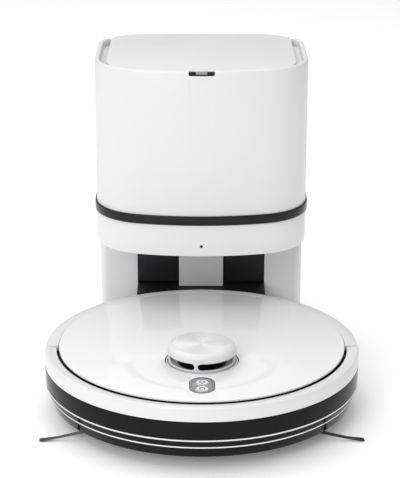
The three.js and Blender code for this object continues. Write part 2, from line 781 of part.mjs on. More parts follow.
// One side brush: a hub under the chassis and its drooping arms, the first one outwards.
function sideBrush(side) {
  const hubTop = UNDERSIDE - 1;
  const hub = turned(
    [
      [0, 7.5],
      [SIDE_HUB_R - 3, 7.5],
      [SIDE_HUB_R, 9.5],
      [SIDE_HUB_R, hubTop],
      [0, hubTop],
    ],
    24,
  );
  const shaft = drum(SIDE_SHAFT_R, hubTop - CUT, FLOOR_TOP + 3, SMALL_STEPS);
  const rise = 9.6;
  const droop = [
    [SIDE_HUB_R - 4, rise],
    [SIDE_REACH * 0.45, rise * 0.62],
    [SIDE_REACH * 0.8, SIDE_TIP_Z + 1.6],
    [SIDE_REACH, SIDE_TIP_Z],
  ];
  const [depth0, depth1] = [3.4, 0.8];
  const shape = new THREE.Shape();
  shape.moveTo(droop[0][0], droop[0][1]);
  for (const [x, z] of droop.slice(1)) shape.lineTo(x, z);
  shape.lineTo(SIDE_REACH, SIDE_TIP_Z + depth1);
  shape.lineTo(droop[2][0], droop[2][1] + 1.8);
  shape.lineTo(droop[1][0], droop[1][1] + depth0);
  shape.lineTo(droop[0][0], droop[0][1] + depth0);
  shape.closePath();
  const arm = (angle) =>
    solid(
      new THREE.ExtrudeGeometry(shape, { depth: SIDE_ARM_W, bevelEnabled: false })
        .translate(0, 0, -SIDE_ARM_W / 2)
        .rotateX(Math.PI / 2),
    ).rotate([0, 0, angle]);
  const start = side > 0 ? 0 : 180;
  const arms = Array.from({ length: SIDE_ARMS }, (_, n) => arm(start + (360 * n) / SIDE_ARMS));
  return join(hub, shaft, ...arms);
}

const sideMotor = () =>
  join(
    drum(SIDE_MOTOR_R, FLOOR_TOP + 6, SIDE_MOTOR_TOP, DRUM_STEPS),
    tube(SIDE_MOTOR_R, SIDE_SHAFT_R + 1.6, FLOOR_TOP + GAP, FLOOR_TOP + 6.2, DRUM_STEPS),
  );

// The swinging arm that carries a drive wheel, on the wheel's inner side.
const PIVOT_Y = WHEEL_Y + ARM_REACH;
const ARM_X0 = WHEEL_X - WHEEL_W / 2 - 1.2 - ARM_T;
function wheelArm(side) {
  const span = (near, far) => [side * near, side * far].sort((a, b) => a - b);
  const [x0, x1] = span(ARM_X0, ARM_X0 + ARM_T);
  const web = (y0, z0, y1, z1, half) => {
    const along = new THREE.Vector2(y1 - y0, z1 - z0);
    const turn = (Math.atan2(along.y, along.x) * 180) / Math.PI;
    return block(x0, x1, 0, along.length(), -half, half)
      .rotate([turn, 0, 0])
      .translate([0, y0, z0]);
  };
  const boss = axleX(11, x0, x1, WHEEL_Y, WHEEL_R, 24);
  const eye = axleX(6, x0, x1, PIVOT_Y, ARM_PIVOT_Z, 16);
  const arm = join(boss, eye, web(WHEEL_Y, WHEEL_R, PIVOT_Y, ARM_PIVOT_Z, 5));
  const axle = axleX(AXLE_R, ...span(ARM_X0 + 1, WHEEL_X + WHEEL_W / 2 - 5), WHEEL_Y, WHEEL_R, 16);
  return join(arm, axle);
}

// A drive wheel's hub, bored for the arm's axle, and the tyre round it.
const tyreProfile = [
  [HUB_R + GAP, -WHEEL_W / 2],
  [WHEEL_R - 2, -WHEEL_W / 2],
  [WHEEL_R, -WHEEL_W / 2 + 2],
  [WHEEL_R, WHEEL_W / 2 - 2],
  [WHEEL_R - 2, WHEEL_W / 2],
  [HUB_R + GAP, WHEEL_W / 2],
];
const tyre = () => turned(tyreProfile, 24).rotate([0, 90, 0]);
const wheelHub = () =>
  turned(
    [
      [AXLE_R + RUN, -WHEEL_W / 2 + 1],
      [HUB_R, -WHEEL_W / 2 + 1],
      [HUB_R, WHEEL_W / 2 - 1],
      [HUB_R - 3, WHEEL_W / 2 - 1],
      [HUB_R - 5, WHEEL_W / 2 - 4],
      [AXLE_R + RUN, WHEEL_W / 2 - 4],
    ],
    DRUM_STEPS,
  ).rotate([0, 90, 0]);

const casterFork = () => {
  const top = CASTER_CUP_Z - 1.5;
  const disc = drum(CASTER_CUP_R - 2, top - 3, top, DRUM_STEPS);
  const pivot = drum(CASTER_PIVOT_R, top - CUT, CASTER_CUP_Z + WALL + 4, SMALL_STEPS);
  const cheek = (side) => {
    const x = side * (CASTER_W / 2 + 2);
    return join(
      block(x - 1.5, x + 1.5, CASTER_TRAIL - 6, CASTER_TRAIL + 6, CASTER_R, top - 2),
      axleX(6, x - 1.5, x + 1.5, CASTER_TRAIL, CASTER_R, 16),
    );
  };
  const axle = axleX(CASTER_AXLE_R, -CASTER_W / 2 - 2, CASTER_W / 2 + 2, CASTER_TRAIL, CASTER_R, 12);
  return join(disc, pivot, cheek(-1), cheek(1), axle);
};

const casterWheel = () =>
  turned(
    [
      [CASTER_AXLE_R + RUN, -CASTER_W / 2],
      [CASTER_R - 2, -CASTER_W / 2],
      [CASTER_R, -CASTER_W / 2 + 3],
      [CASTER_R, CASTER_W / 2 - 3],
      [CASTER_R - 2, CASTER_W / 2],
      [CASTER_AXLE_R + RUN, CASTER_W / 2],
    ],
    DRUM_STEPS,
  ).rotate([0, 90, 0]);

piece(robot, "chassis", chassis(), BLACK);
piece(robot, "upper_cover", upperCover(), WHITE);
piece(robot, "top_plate", topPlate(), GLOSS_WHITE);
piece(robot, "bumper_shell", bumperShell(), WHITE);
piece(robot, "bumper_window", bumperWindow(), GLOSS_BLACK);
piece(robot, "bumper_trim", stripeLoop(0, 0), WHITE);
piece(robot, "button_pad", buttonPad(), LIGHT_GREY);
piece(robot, "home_button", button(), WHITE, [0, HOME_Y, 0]);
piece(robot, "power_button", button(), WHITE, [0, POWER_Y, 0]);
piece(robot, "lidar_base", lidarBase(), WHITE, [0, TURRET_Y, 0]);
piece(robot, "lidar_head", lidarHead(), GLOSS_BLACK, [0, TURRET_Y, 0]);
piece(robot, "turret_cover", turretCover(), WHITE, [0, TURRET_Y, 0]);
piece(robot, "battery", battery(), BATTERY_BLUE);
piece(robot, "main_board", mainBoard(), BOARD_GREEN);
piece(robot, "dust_bin", dustBin(), MID_GREY);
piece(robot, "bin_flap", binFlap(), BLACK);
piece(robot, "bin_filter", binFilter(), FILTER);
piece(robot, "fan_housing", fanHousing(), BLACK);
const fanPlace = [FAN_X, FAN_Y, FAN_IMPELLER_Z];
piece(robot, "fan_impeller", impeller(FAN_R - 6, FAN_SHAFT_R + RUN, 14, 9), LIGHT_GREY, fanPlace);
piece(robot, "main_brush", mainBrush(), BLACK, [0, BRUSH_Y, BRUSH_R + BRUSH_FLOOR]);
piece(robot, "brush_guard", brushGuard(), MID_GREY);
piece(robot, "caster_fork", casterFork(), BLACK, [0, CASTER_Y, 0]);
piece(robot, "caster_wheel", casterWheel(), RUBBER, [0, CASTER_Y + CASTER_TRAIL, CASTER_R]);
for (const [name, side] of SIDES) {
  piece(robot, `side_motor_${name}`, sideMotor(), STEEL, [side * SIDE_X, SIDE_Y, 0]);
  piece(robot, `side_brush_${name}`, sideBrush(side), BLACK, [side * SIDE_X, SIDE_Y, 0]);
  piece(robot, `wheel_arm_${name}`, wheelArm(side), BLACK);
  const hubPlace = [side * WHEEL_X, WHEEL_Y, WHEEL_R];
  piece(robot, `wheel_${name}`, wheelHub(), LIGHT_GREY, hubPlace);
  piece(robot, `tyre_${name}`, tyre(), RUBBER, hubPlace);
}

// ======================================================================================
// STATION (y = 0 is its front, at the middle)
// ======================================================================================

// The body's outline from above, moved inwards by an inset: a bowed front, large round
// corners, straight sides and a flat back.
function outline(
  inset,
  front = inset,
  side = inset,
  rear = inset,
  rearCorner = REAR_CORNER_R - side,
) {
  const half = STATION_W / 2 - side;
  const corner = FRONT_CORNER_R - side;
  const bow = FRONT_BOW_R - front;
  const back = STATION_D - rear;
  const x = half - corner;
  const middle = front + bow;
  const y = middle - Math.sqrt((bow - corner) ** 2 - x ** 2);
  const lean = Math.atan2(x, middle - y);
  const shape = new THREE.Shape();
  shape.absarc(0, middle, bow, -Math.PI / 2 - lean, -Math.PI / 2 + lean);
  shape.absarc(x, y, corner, -Math.PI / 2 + lean, 0);
  shape.absarc(half - rearCorner, back - rearCorner, rearCorner, 0, Math.PI / 2);
  shape.absarc(rearCorner - half, back - rearCorner, rearCorner, Math.PI / 2, Math.PI);
  shape.absarc(-x, y, corner, Math.PI, 1.5 * Math.PI - lean);
  shape.closePath();
  return shape;
}

// The lower column's outline: the back part of the body with small round front corners.
function columnPrism(inset, z0, z1) {
  const depth = FAR;
  const box = roundedShape(
    STATION_W - 2 * inset,
    depth,
    COLUMN_CORNER_R - inset,
    0,
    COLUMN_Y + inset + depth / 2,
  );
  return prism(outline(inset), z0, z1).intersect(prism(box, z0, z1, 5));
}

const COLUMN_Z = FOOT_H + PLATE_T + GAP;
const windowSpan = (side, grow) =>
  [side * (COVER_W / 2 - grow), side * (SHELF_W / 2 + grow)].sort((a, b) => a - b);

const REAR_PANEL_W = 100;
const REAR_PANEL_Z0 = 46;
const REAR_PANEL_Z1 = 134;
const INLET_W = 28;
const INLET_X = 38;
const INLET_Z0 = 14;
const INLET_Z1 = 36;
const LED_R = 1.6;
const LED_Z = 153;

// The white lower housing: the column's walls, the overhang's underside and its skirt.
function lowerShell() {
  const outer = join(
    prism(outline(0), OVERHANG_Z, TRIM_Z0 - GAP),
    columnPrism(0, COLUMN_Z, OVERHANG_Z + CUT),
  );
  const inner = join(
    prism(outline(SHELL_WALL), OVERHANG_Z + WALL, TRIM_Z0 + CUT),
    columnPrism(SHELL_WALL, COLUMN_Z - CUT, OVERHANG_Z + WALL + CUT),
  );
  const windows = SIDES.map(([, side]) => {
    const [x0, x1] = windowSpan(side, GAP);
    const depth = [COLUMN_Y - CUT, COLUMN_Y + SHELL_WALL + CUT];
    return block(x0, x1, ...depth, SHELF_Z - GAP, WINDOW_TOP + GAP);
  });
  const shelfGate = block(
    -SHELF_W / 2 - GAP,
    SHELF_W / 2 + GAP,
    COLUMN_Y - CUT,
    COLUMN_Y + SHELL_WALL + CUT,
    COLUMN_Z - CUT,
    SHELF_Z + GAP,
  );
  const half = REAR_PANEL_W / 2 + GAP;
  const rear = [STATION_D - SHELL_WALL - CUT, STATION_D + CUT];
  const rearGate = block(-half, half, ...rear, REAR_PANEL_Z0 - GAP, REAR_PANEL_Z1 + GAP);
  const inletGate = block(
    INLET_X - INLET_W / 2 - GAP,
    INLET_X + INLET_W / 2 + GAP,
    ...rear,
    INLET_Z0 - GAP,
    INLET_Z1 + GAP,
  );
  const ledHole = axleY(LED_R + GAP, -CUT, SHELL_WALL + CUT, 0, LED_Z);
  return cut(outer, inner, ...windows, shelfGate, rearGate, inletGate, ledHole);
}

// The black base: foot plate, the tongue under the robot and the docking block.
function stationBase() {
  const plateZ = [FOOT_H, FOOT_H + PLATE_T];
  const tongueDepth = COLUMN_Y + 40 - TONGUE_Y;
  const tongue = prism(
    roundedShape(TONGUE_W, tongueDepth, 18, 0, TONGUE_Y + tongueDepth / 2),
    ...plateZ,
    6,
  );
  const half = SHELF_W / 2;
  const rear = COLUMN_Y + SHELL_WALL + 4;
  const shelf = cut(
    block(-half, half, SHELF_Y, rear, FOOT_H + PLATE_T - 0.5, SHELF_Z - GAP),
    block(-half + WALL, half - WALL, SHELF_Y + WALL, rear + CUT, FOOT_H + PLATE_T, SHELF_Z - GAP - WALL),
  );
  const portHole = block(
    -PORT_W / 2 - 5 - GAP,
    PORT_W / 2 + 5 + GAP,
    SHELF_Y - CUT,
    SHELF_Y + WALL + CUT,
    PORT_Z0 - 5 - GAP,
    PORT_Z1 + 5 + GAP,
  );
  const column = columnPrism(0, ...plateZ);
  const bosses = SIDES.map(([, side]) =>
    prism(
      roundedShape(CONTACT_W + 8, CONTACT_L + 8, 4, side * CONTACT_X, CONTACT_Y),
      FOOT_H + PLATE_T - 0.5,
      UNDERSIDE - 4,
      4,
    ),
  );
  const pockets = SIDES.map(([, side]) =>
    prism(
      roundedShape(
        CONTACT_W + 2 * SLIDE,
        CONTACT_L + 2 * SLIDE,
        3,
        side * CONTACT_X,
        CONTACT_Y,
      ),
      FOOT_H + 2,
      UNDERSIDE,
      4,
    ),
  );
  return cut(join(column, tongue, shelf, ...bosses), portHole, ...pockets);
}

const contact = () =>
  prism(
    roundedShape(CONTACT_W, CONTACT_L, 3),
    FOOT_H + 2 + CONTACT_TRAVEL + GAP,
    UNDERSIDE - GAP,
    4,
  );

// The rubber frame under the whole base.
const baseFoot = () =>
  cut(
    join(
      columnPrism(8, 0, FOOT_H - 0.05),
      prism(
        roundedShape(
          TONGUE_W - 16,
          COLUMN_Y + 32 - TONGUE_Y,
          14,
          0,
          TONGUE_Y + 8 + (COLUMN_Y + 32 - TONGUE_Y) / 2,
        ),
        0,
        FOOT_H - 0.05,
        6,
      ),
    ),
    block(-TONGUE_W / 2 + 22, TONGUE_W / 2 - 22, TONGUE_Y + 22, STATION_D - 24, -CUT, FOOT_H + CUT),
  );

// The ring round the middle of the body, standing a little proud of both housings.
const trimBand = () =>
  cut(
    prism(outline(-TRIM_PROUD), TRIM_Z0, TRIM_Z1 - GAP),
    prism(outline(SHELL_WALL + 2), TRIM_Z0 - CUT, TRIM_Z1 + CUT),
  );

// The lid's plan: its own outline, cut off by the body's outline at the back.
const lidPrism = (grow, z0, z1) =>
  prism(
    outline(0, LID_FRONT - grow, CHANNEL_W - grow, -LID_REAR - grow, LID_CORNER_R + grow),
    z0,
    z1,
  ).intersect(prism(outline(-grow), z0, z1));
const bayInner = () => outline(BAY_INSET);

// The white upper housing with its thick rim and the floor of the channel round the lid.
function upperShell() {
  const shelf = CHANNEL_Z - CHANNEL_T;
  const rimFoot = STATION_H - RIM_H;
  const body = cut(
    prism(outline(0), TRIM_Z1, STATION_H),
    prism(outline(SHELL_WALL), TRIM_Z1 - CUT, rimFoot),
    prism(outline(RIM_W), rimFoot - CUT, shelf),
    prism(bayInner(), shelf - CUT, CHANNEL_Z + CUT),
    prism(outline(RIM_W), CHANNEL_Z, STATION_H + CUT),
  );
  const lidRoom = lidPrism(LID_SEAM, CHANNEL_Z + 0.5, STATION_H + CUT);
  const fall = new THREE.Shape();
  fall.moveTo(RIM_FALL_Y0, STATION_H);
  fall.lineTo(RIM_FALL_Y1, LID_Z0 - GAP);
  fall.lineTo(STATION_D + CUT, LID_Z0 - GAP);
  fall.lineTo(STATION_D + CUT, STATION_H + CUT);
  fall.lineTo(RIM_FALL_Y0, STATION_H + CUT);
  fall.closePath();
  const swingRoom = prism(fall, -STATION_W / 2 - CUT, STATION_W / 2 + CUT).rotate([90, 0, 90]);
  const knuckles = SIDES.map(([, side]) => {
    const x = side * KNUCKLE_X;
    const half = KNUCKLE_W / 2 + SLIDE;
    return block(
      x - half,
      x + half,
      HINGE_Y - KNUCKLE_R - 2,
      STATION_D + CUT,
      HINGE_Z - KNUCKLE_R - 1,
      CHANNEL_Z + CUT,
    );
  });
  const pinBore = axleX(
    HINGE_PIN_R + RUN,
    -KNUCKLE_X - 12,
    KNUCKLE_X + 12,
    HINGE_Y,
    HINGE_Z,
    12,
  );
  const notch = prism(
    roundedShape(NOTCH_W + 2 * GAP, 2 * NOTCH_D, 2, 0, 0.6),
    STATION_H - NOTCH_H - GAP,
    STATION_H + CUT,
    4,
  );
  return cut(body, lidRoom, swingRoom, ...knuckles, pinBore, notch);
}

// The lid, with two knuckles under its back edge.
function stationLid() {
  const plate = lidPrism(0, LID_Z0, LID_Z0 + LID_PLATE_T);
  const knuckle = (side) => {
    const [x0, x1] = [side * KNUCKLE_X - KNUCKLE_W / 2, side * KNUCKLE_X + KNUCKLE_W / 2];
    return join(
      axleX(KNUCKLE_R, x0, x1, HINGE_Y, HINGE_Z, 20),
      block(x0, x1, HINGE_Y - 2, HINGE_Y + 2, HINGE_Z, LID_Z0 + CUT),
    );
  };
  const bore = axleX(HINGE_PIN_R + RUN, -FAR, FAR, HINGE_Y, HINGE_Z, 12);
  return cut(join(plate, knuckle(-1), knuckle(1)), bore);
}

const lidHingePin = () =>
  axleX(HINGE_PIN_R, -KNUCKLE_X - 11.5, KNUCKLE_X + 11.5, HINGE_Y, HINGE_Z, 12);

const lidSeal = () =>
  cut(
    prism(outline(BAY_INSET - 3.5), CHANNEL_Z + GAP, LID_Z0 - GAP, 5),
    prism(outline(BAY_INSET - 1), CHANNEL_Z - CUT, LID_Z0 + CUT, 5),
  );

// The dark finger recess in the rim, and the light latch in the middle of it.
const latchHousing = () =>
  cut(
    prism(
      roundedShape(NOTCH_W, 2 * NOTCH_D - 2 * GAP, 1.8, 0, 0.6),
      STATION_H - NOTCH_H,
      STATION_H - 1.2,
      4,
    ).intersect(prism(outline(0.4), 0, STATION_H)),
    block(
      -LATCH_W / 2 - SLIDE,
      LATCH_W / 2 + SLIDE,
      -NOTCH_D - CUT,
      LATCH_D - LATCH_PROUD + LATCH_TRAVEL + GAP,
      STATION_H - NOTCH_H + 1.4,
      STATION_H + CUT,
    ),
  );
const lidLatch = () =>
  prism(
    roundedShape(LATCH_W, LATCH_D, 1, 0, LATCH_D / 2 - LATCH_PROUD),
    STATION_H - NOTCH_H + 1.4 + GAP,
    STATION_H - 0.8,
    3,
  );

// The tub that the bag sits in, with a window in its back wall for the duct.
const bayPrism = (inset, z0, z1) =>
  prism(outline(BAY_INSET + inset), z0, z1).intersect(before(BAY_REAR - inset));
const OUTLET_Z0 = STATION_H - 80;
const OUTLET_H = 32;
const OUTLET_W = 40;
const bagTray = () =>
  cut(
    bayPrism(0.5, BAY_FLOOR_Z, CHANNEL_Z - CHANNEL_T - GAP),
    bayPrism(0.5 + BAY_WALL, BAY_FLOOR_Z + BAY_WALL, CHANNEL_Z + CUT),
    block(
      -OUTLET_W / 2,
      OUTLET_W / 2,
      BAY_REAR - 6,
      BAY_REAR + CUT,
      OUTLET_Z0,
      OUTLET_Z0 + OUTLET_H,
    ),
    block(...BAY_GRILLE, BAY_FLOOR_Z - CUT, BAY_FLOOR_Z + BAY_WALL + CUT),
  );

const bagCollar = () => {
  const y1 = BAY_REAR - 0.5 - BAY_WALL - GAP;
  return cut(
    block(-45, 45, y1 - 3, y1, OUTLET_Z0 - 28, OUTLET_Z0 + OUTLET_H + 20),
    block(-17, 17, y1 - 4, y1 + CUT, OUTLET_Z0 + 2, OUTLET_Z0 + OUTLET_H - 2),
  );
};

// The bag: a soft pillow with rounded edges, hanging from the collar.
function dustBag() {
  const [z0, z1] = [BAY_FLOOR_Z + 6, STATION_H - 24];
  const y = BAY_REAR - 8.5 - BAG_D / 2;
  const flat = roundedShape(BAG_W - 2 * BAG_ROUND, BAG_D - 2 * BAG_ROUND, 16, 0, y);
  return solid(
    new THREE.ExtrudeGeometry(flat, {
      depth: z1 - z0 - 2 * BAG_ROUND,
      bevelSize: BAG_ROUND,
      bevelThickness: BAG_ROUND,
      bevelSegments: 2,
      curveSegments: 3,
    }).translate(0, 0, z0 + BAG_ROUND),
  );
}

// The duct from the docking port, back along the floor and up behind the bag.
function suctionDuct() {
  const [z0, z1] = [PORT_Z0 - 3, PORT_Z1 + 3];
  const [half, wall] = [DUCT_W / 2, DUCT_WALL];
  const front = SHELF_Y + 3.4;
  const outer = join(
    block(-half, half, front, DUCT_REAR, z0, z1),
    block(-half, half, DUCT_REAR - DUCT_DEPTH, DUCT_REAR, z0, DUCT_TOP),
  );
  const inner = join(
    block(-half + wall, half - wall, front - CUT, DUCT_REAR - wall, z0 + wall, z1 - wall),
    block(
      -half + wall,
      half - wall,
      DUCT_REAR - DUCT_DEPTH + wall,
      DUCT_REAR - wall,
      z0 + wall,
      DUCT_TOP - wall,
    ),
    block(
      -OUTLET_W / 2,
      OUTLET_W / 2,
      DUCT_REAR - DUCT_DEPTH - CUT,
      DUCT_REAR - wall - CUT,
      OUTLET_Z0,
      OUTLET_Z0 + OUTLET_H,
    ),
  );
  return cut(outer, inner);
}

const suctionSeal = () =>
  cut(
    prism(roundedShape(PORT_W + 10, PORT_Z1 - PORT_Z0 + 10, 5, 0, (PORT_Z0 + PORT_Z1) / 2), 0, 4.6, 4),
    prism(roundedShape(PORT_W + 2, PORT_Z1 - PORT_Z0 + 2, 3, 0, (PORT_Z0 + PORT_Z1) / 2), -CUT, 6, 4),
  )
    .rotate([90, 0, 0])
    .translate([0, SHELF_Y + 3.1, 0]);

const irWindow = (side) => {
  const [x0, x1] = windowSpan(side, -GAP);
  return block(x0, x1, COLUMN_Y + 0.4, COLUMN_Y + SHELL_WALL - 0.4, SHELF_Z + 2 * GAP, WINDOW_TOP - GAP);
};

const ductColumn = () =>
  cut(
    prism(
      roundedShape(COVER_W, 2 * (COLUMN_Y - COVER_Y), 2, 0, COLUMN_Y),
      SHELF_Z,
      OVERHANG_Z - GAP,
      3,
    ).intersect(before(COLUMN_Y - GAP)),
    block(
      -COVER_W / 2 + 2,
      COVER_W / 2 - 2,
      COVER_Y + 2,
      COLUMN_Y + CUT,
      SHELF_Z + 2,
      OVERHANG_Z - 2.3,
    ),
  );

const rearCover = () => {
  const half = REAR_PANEL_W / 2;
  const plate = block(-half, half, STATION_D - 2.6, STATION_D - 0.2, REAR_PANEL_Z0, REAR_PANEL_Z1);
  const slot = (n) =>
    block(-half + 12, half - 12, STATION_D - 4, STATION_D + CUT, 62 + 8 * n, 65 + 8 * n);
  return cut(plate, ...[0, 1, 2, 3, 4, 5, 6, 7].map(slot));
};

// The socket for the mains lead, two round holes run together.
const powerInlet = () =>
  cut(
    block(
      INLET_X - INLET_W / 2,
      INLET_X + INLET_W / 2,
      STATION_D - 20,
      STATION_D - 0.4,
      INLET_Z0,
      INLET_Z1,
    ),
    prism(roundedShape(17, 8.4, 4, INLET_X, (INLET_Z0 + INLET_Z1) / 2), 0, 14, 5)
      .rotate([90, 0, 0])
      .translate([0, STATION_D + CUT, 0]),
  );

const vacuumMotor = () =>
  join(
    drum(MOTOR_R, MOTOR_FOOT, MOTOR_TOP - 4, DRUM_STEPS, MOTOR_X, MOTOR_Y),
    drum(MOTOR_R - 8, MOTOR_TOP - 4 - CUT, MOTOR_TOP, DRUM_STEPS, MOTOR_X, MOTOR_Y),
    drum(MOTOR_SHAFT_R, MOTOR_TOP - CUT, MOTOR_TOP + MOTOR_SHAFT, SMALL_STEPS, MOTOR_X, MOTOR_Y),
  );

// A pleated panel behind the motor, facing the slots of the rear cover.
const exhaustFilter = () => {
  const [x0, x1] = [-REAR_PANEL_W / 2, -DUCT_W / 2 - 2];
  const pleats = 8;
  const shape = new THREE.Shape();
  shape.moveTo(x0, 0);
  for (let n = 0; n <= pleats; n += 1)
    shape.lineTo(x0 + ((x1 - x0) * n) / pleats, n % 2 ? 3.6 : 1.6);
  shape.lineTo(x1, 0);
  shape.closePath();
  return prism(shape, REAR_PANEL_Z0 + 6, REAR_PANEL_Z1 - 6).translate([0, STATION_D - 7.5, 0]);
};

const controlBoard = () =>
  join(
    block(62, 63.6, 130, 196, 20, 112),
    block(63, 78, 136, 160, 30, 62),
    block(63, 72, 168, 188, 74, 100),
    block(56, 62.5, 150, 180, 84, 96),
  );

const statusLed = () => axleY(LED_R, 0.25, 6, 0, LED_Z, 12);

piece(station, "station_base", stationBase(), BLACK);
piece(station, "base_foot", baseFoot(), RUBBER);
piece(station, "lower_shell", lowerShell(), WHITE);
piece(station, "trim_band", trimBand(), GLOSS_BLACK);
piece(station, "upper_shell", upperShell(), WHITE);
piece(station, "rear_cover", rearCover(), WHITE);
piece(station, "duct_column", ductColumn(), LIGHT_GREY);
piece(station, "suction_seal", suctionSeal(), RUBBER);
piece(station, "suction_duct", suctionDuct(), MID_GREY);
piece(station, "bag_tray", bagTray(), MID_GREY);
piece(station, "bag_collar", bagCollar(), PAPER);
piece(station, "dust_bag", dustBag(), PAPER);
piece(station, "vacuum_motor", vacuumMotor(), BLACK);
const impellerPlace = [MOTOR_X, MOTOR_Y, MOTOR_TOP + 1];
piece(
  station,
  "station_impeller",
  impeller(MOTOR_R - 4, MOTOR_SHAFT_R + RUN, MOTOR_SHAFT + 2, 11),
  LIGHT_GREY,
  impellerPlace,
);
piece(station, "exhaust_filter", exhaustFilter(), FILTER);
piece(station, "control_board", controlBoard(), BOARD_GREEN);
piece(station, "power_inlet", powerInlet(), BLACK);
piece(station, "status_led", statusLed(), GLOSS_BLACK);
piece(station, "station_lid", stationLid(), WHITE);
piece(station, "lid_seal", lidSeal(), RUBBER);
piece(station, "lid_hinge_pin", lidHingePin(), STEEL);
piece(station, "latch_housing", latchHousing(), BLACK);
piece(station, "lid_latch", lidLatch(), LIGHT_GREY);
for (const [name, side] of SIDES) {
  piece(station, `ir_window_${name}`, irWindow(side), GLOSS_BLACK);
  const place = [side * CONTACT_X, CONTACT_Y, 0];
  piece(station, `charge_contact_${name}`, contact(), COPPER, place);
}

export default product;
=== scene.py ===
# %% [markdown]
# # A robot vacuum parked in its self-emptying station
# The product is two machines that meet: a flat round robot with a laser turret, and a tall
# white station that empties the robot's bin. A working model with joints is already there,
# so this lesson only makes the looks. Every piece is built around that model, in metres,
# and rides on one of its moving bodies.

# %% Load the working model
import math

import bpy
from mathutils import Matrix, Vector


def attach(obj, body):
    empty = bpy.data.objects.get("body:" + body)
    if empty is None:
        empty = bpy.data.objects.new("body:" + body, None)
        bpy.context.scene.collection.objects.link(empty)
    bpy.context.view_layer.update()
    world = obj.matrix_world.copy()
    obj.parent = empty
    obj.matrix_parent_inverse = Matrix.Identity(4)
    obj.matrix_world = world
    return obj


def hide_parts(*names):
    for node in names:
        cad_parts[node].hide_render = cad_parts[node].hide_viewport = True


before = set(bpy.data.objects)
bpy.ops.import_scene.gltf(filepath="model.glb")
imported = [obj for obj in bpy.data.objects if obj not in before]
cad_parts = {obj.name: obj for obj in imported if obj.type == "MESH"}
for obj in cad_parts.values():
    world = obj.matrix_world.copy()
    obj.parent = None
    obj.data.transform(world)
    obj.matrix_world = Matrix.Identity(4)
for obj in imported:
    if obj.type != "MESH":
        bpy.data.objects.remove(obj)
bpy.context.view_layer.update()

# %% [markdown]
# ## The camera and the room
# The product stands on a seamless white sweep, lit by a white dome and large soft boxes,
# as in a catalogue. A long lens from a little above the front keeps the sides of the
# station nearly upright. The glossy black parts mirror the soft boxes, so the boxes are
# placed for their reflections as much as for their light.

# %% Camera, lights and floor
MM = 0.001
CAMERA_AT = (-0.008, -1.835, 0.794)
LOOK_DOWN = 18.738
camera_data = bpy.data.cameras.new("studio_camera")
camera_data.lens = 128.3
camera_data.sensor_width = 36.0
camera_data.shift_x = 0.0115
camera_data.shift_y = 0.0018
camera = bpy.data.objects.new("studio_camera", camera_data)
camera.location = CAMERA_AT
camera.rotation_euler = (math.radians(90 - LOOK_DOWN), 0, 0)
bpy.context.scene.collection.objects.link(camera)
bpy.context.scene.camera = camera
bpy.context.scene.view_settings.view_transform = "Standard"

world = bpy.data.worlds.new("white_dome")
world.use_nodes = True
world.node_tree.nodes["Background"].inputs["Color"].default_value = (1, 1, 1, 1)
world.node_tree.nodes["Background"].inputs["Strength"].default_value = 0.45
bpy.context.scene.world = world

SOFT_BOXES = {
    "soft_box_top": ((-0.5, 0.5, 3.0), (4.5, 4.5), 82.0),
    "soft_box_left": ((-1.2, -2.6, 1.5), (1.2, 1.5), 24.0),
    "soft_box_front": ((-0.7, -3.2, 1.9), (3.0, 1.6), 15.0),
}
for name, (place, size, power) in SOFT_BOXES.items():
    light_data = bpy.data.lights.new(name, "AREA")
    light_data.shape = "RECTANGLE"
    light_data.size, light_data.size_y = size
    light_data.energy = power
    light = bpy.data.objects.new(name, light_data)
    light.location = place
    towards = Vector((0, 0, 0.15)) - Vector(place)
    light.rotation_euler = towards.to_track_quat("-Z", "Y").to_euler()
    bpy.context.scene.collection.objects.link(light)
print("lights:", len(SOFT_BOXES))


# %% [markdown]
# ## Tools for the work
# Three small helpers carry most of the work. The first clears the selection, because an
# operator acts on everything that is selected. The second lays the squares of a grid
# primitive out along a section and a path and sews the seams, which is how a potter's
# profile, a bent strip and a drawn outline all become closed shells. The third rounds the
# edges and sets the shading, since no moulded edge is sharp.

# %% Selection and sewing
def deselect():
    if bpy.context.object and bpy.context.object.mode != "OBJECT":
        bpy.ops.object.mode_set(mode="OBJECT")
    bpy.ops.object.select_all(action="DESELECT")


def pick(piece):
    deselect()
    piece.select_set(True)
    bpy.context.view_layer.objects.active = piece
    return piece


def sew(piece, threshold=1e-6):
    """Merges the seams, closes open ends and turns the faces outwards."""
    pick(piece)
    bpy.ops.object.mode_set(mode="EDIT")
    bpy.ops.mesh.select_all(action="SELECT")
    bpy.ops.mesh.remove_doubles(threshold=threshold)
    bpy.ops.mesh.select_all(action="DESELECT")
    bpy.ops.mesh.select_non_manifold()
    bpy.ops.mesh.fill_holes(sides=0)
    bpy.ops.mesh.select_all(action="SELECT")
    bpy.ops.mesh.normals_make_consistent(inside=False)
    bpy.ops.object.mode_set(mode="OBJECT")
    return piece


def rolled(columns, rows, place, ring=True, loop=True):
    """A grid whose corners go to place(column, row), in millimetres, sewn into a solid."""
    deselect()
    across = columns if ring else columns - 1
    up = rows if loop else rows - 1
    bpy.ops.mesh.primitive_grid_add(x_subdivisions=across, y_subdivisions=up)
    piece = bpy.context.object
    for vertex in piece.data.vertices:
        row, column = divmod(vertex.index, across + 1)
        vertex.co = Vector(place(column % columns, row % rows)) * MM
    return sew(piece)


# %% [markdown]
# ## Turned, drawn and blocky starts
# A turned piece is a section carried round a circle, a drawn piece is a section carried
# round an outline, and a prism is an outline raised straight up. Blocks start from the cube
# primitive. All of them are starts: the edges are rounded and the openings are cut later.

# %% Turned pieces, prisms and blocks
ROBOT_Y = -70.0
STATION_Y = 30.0


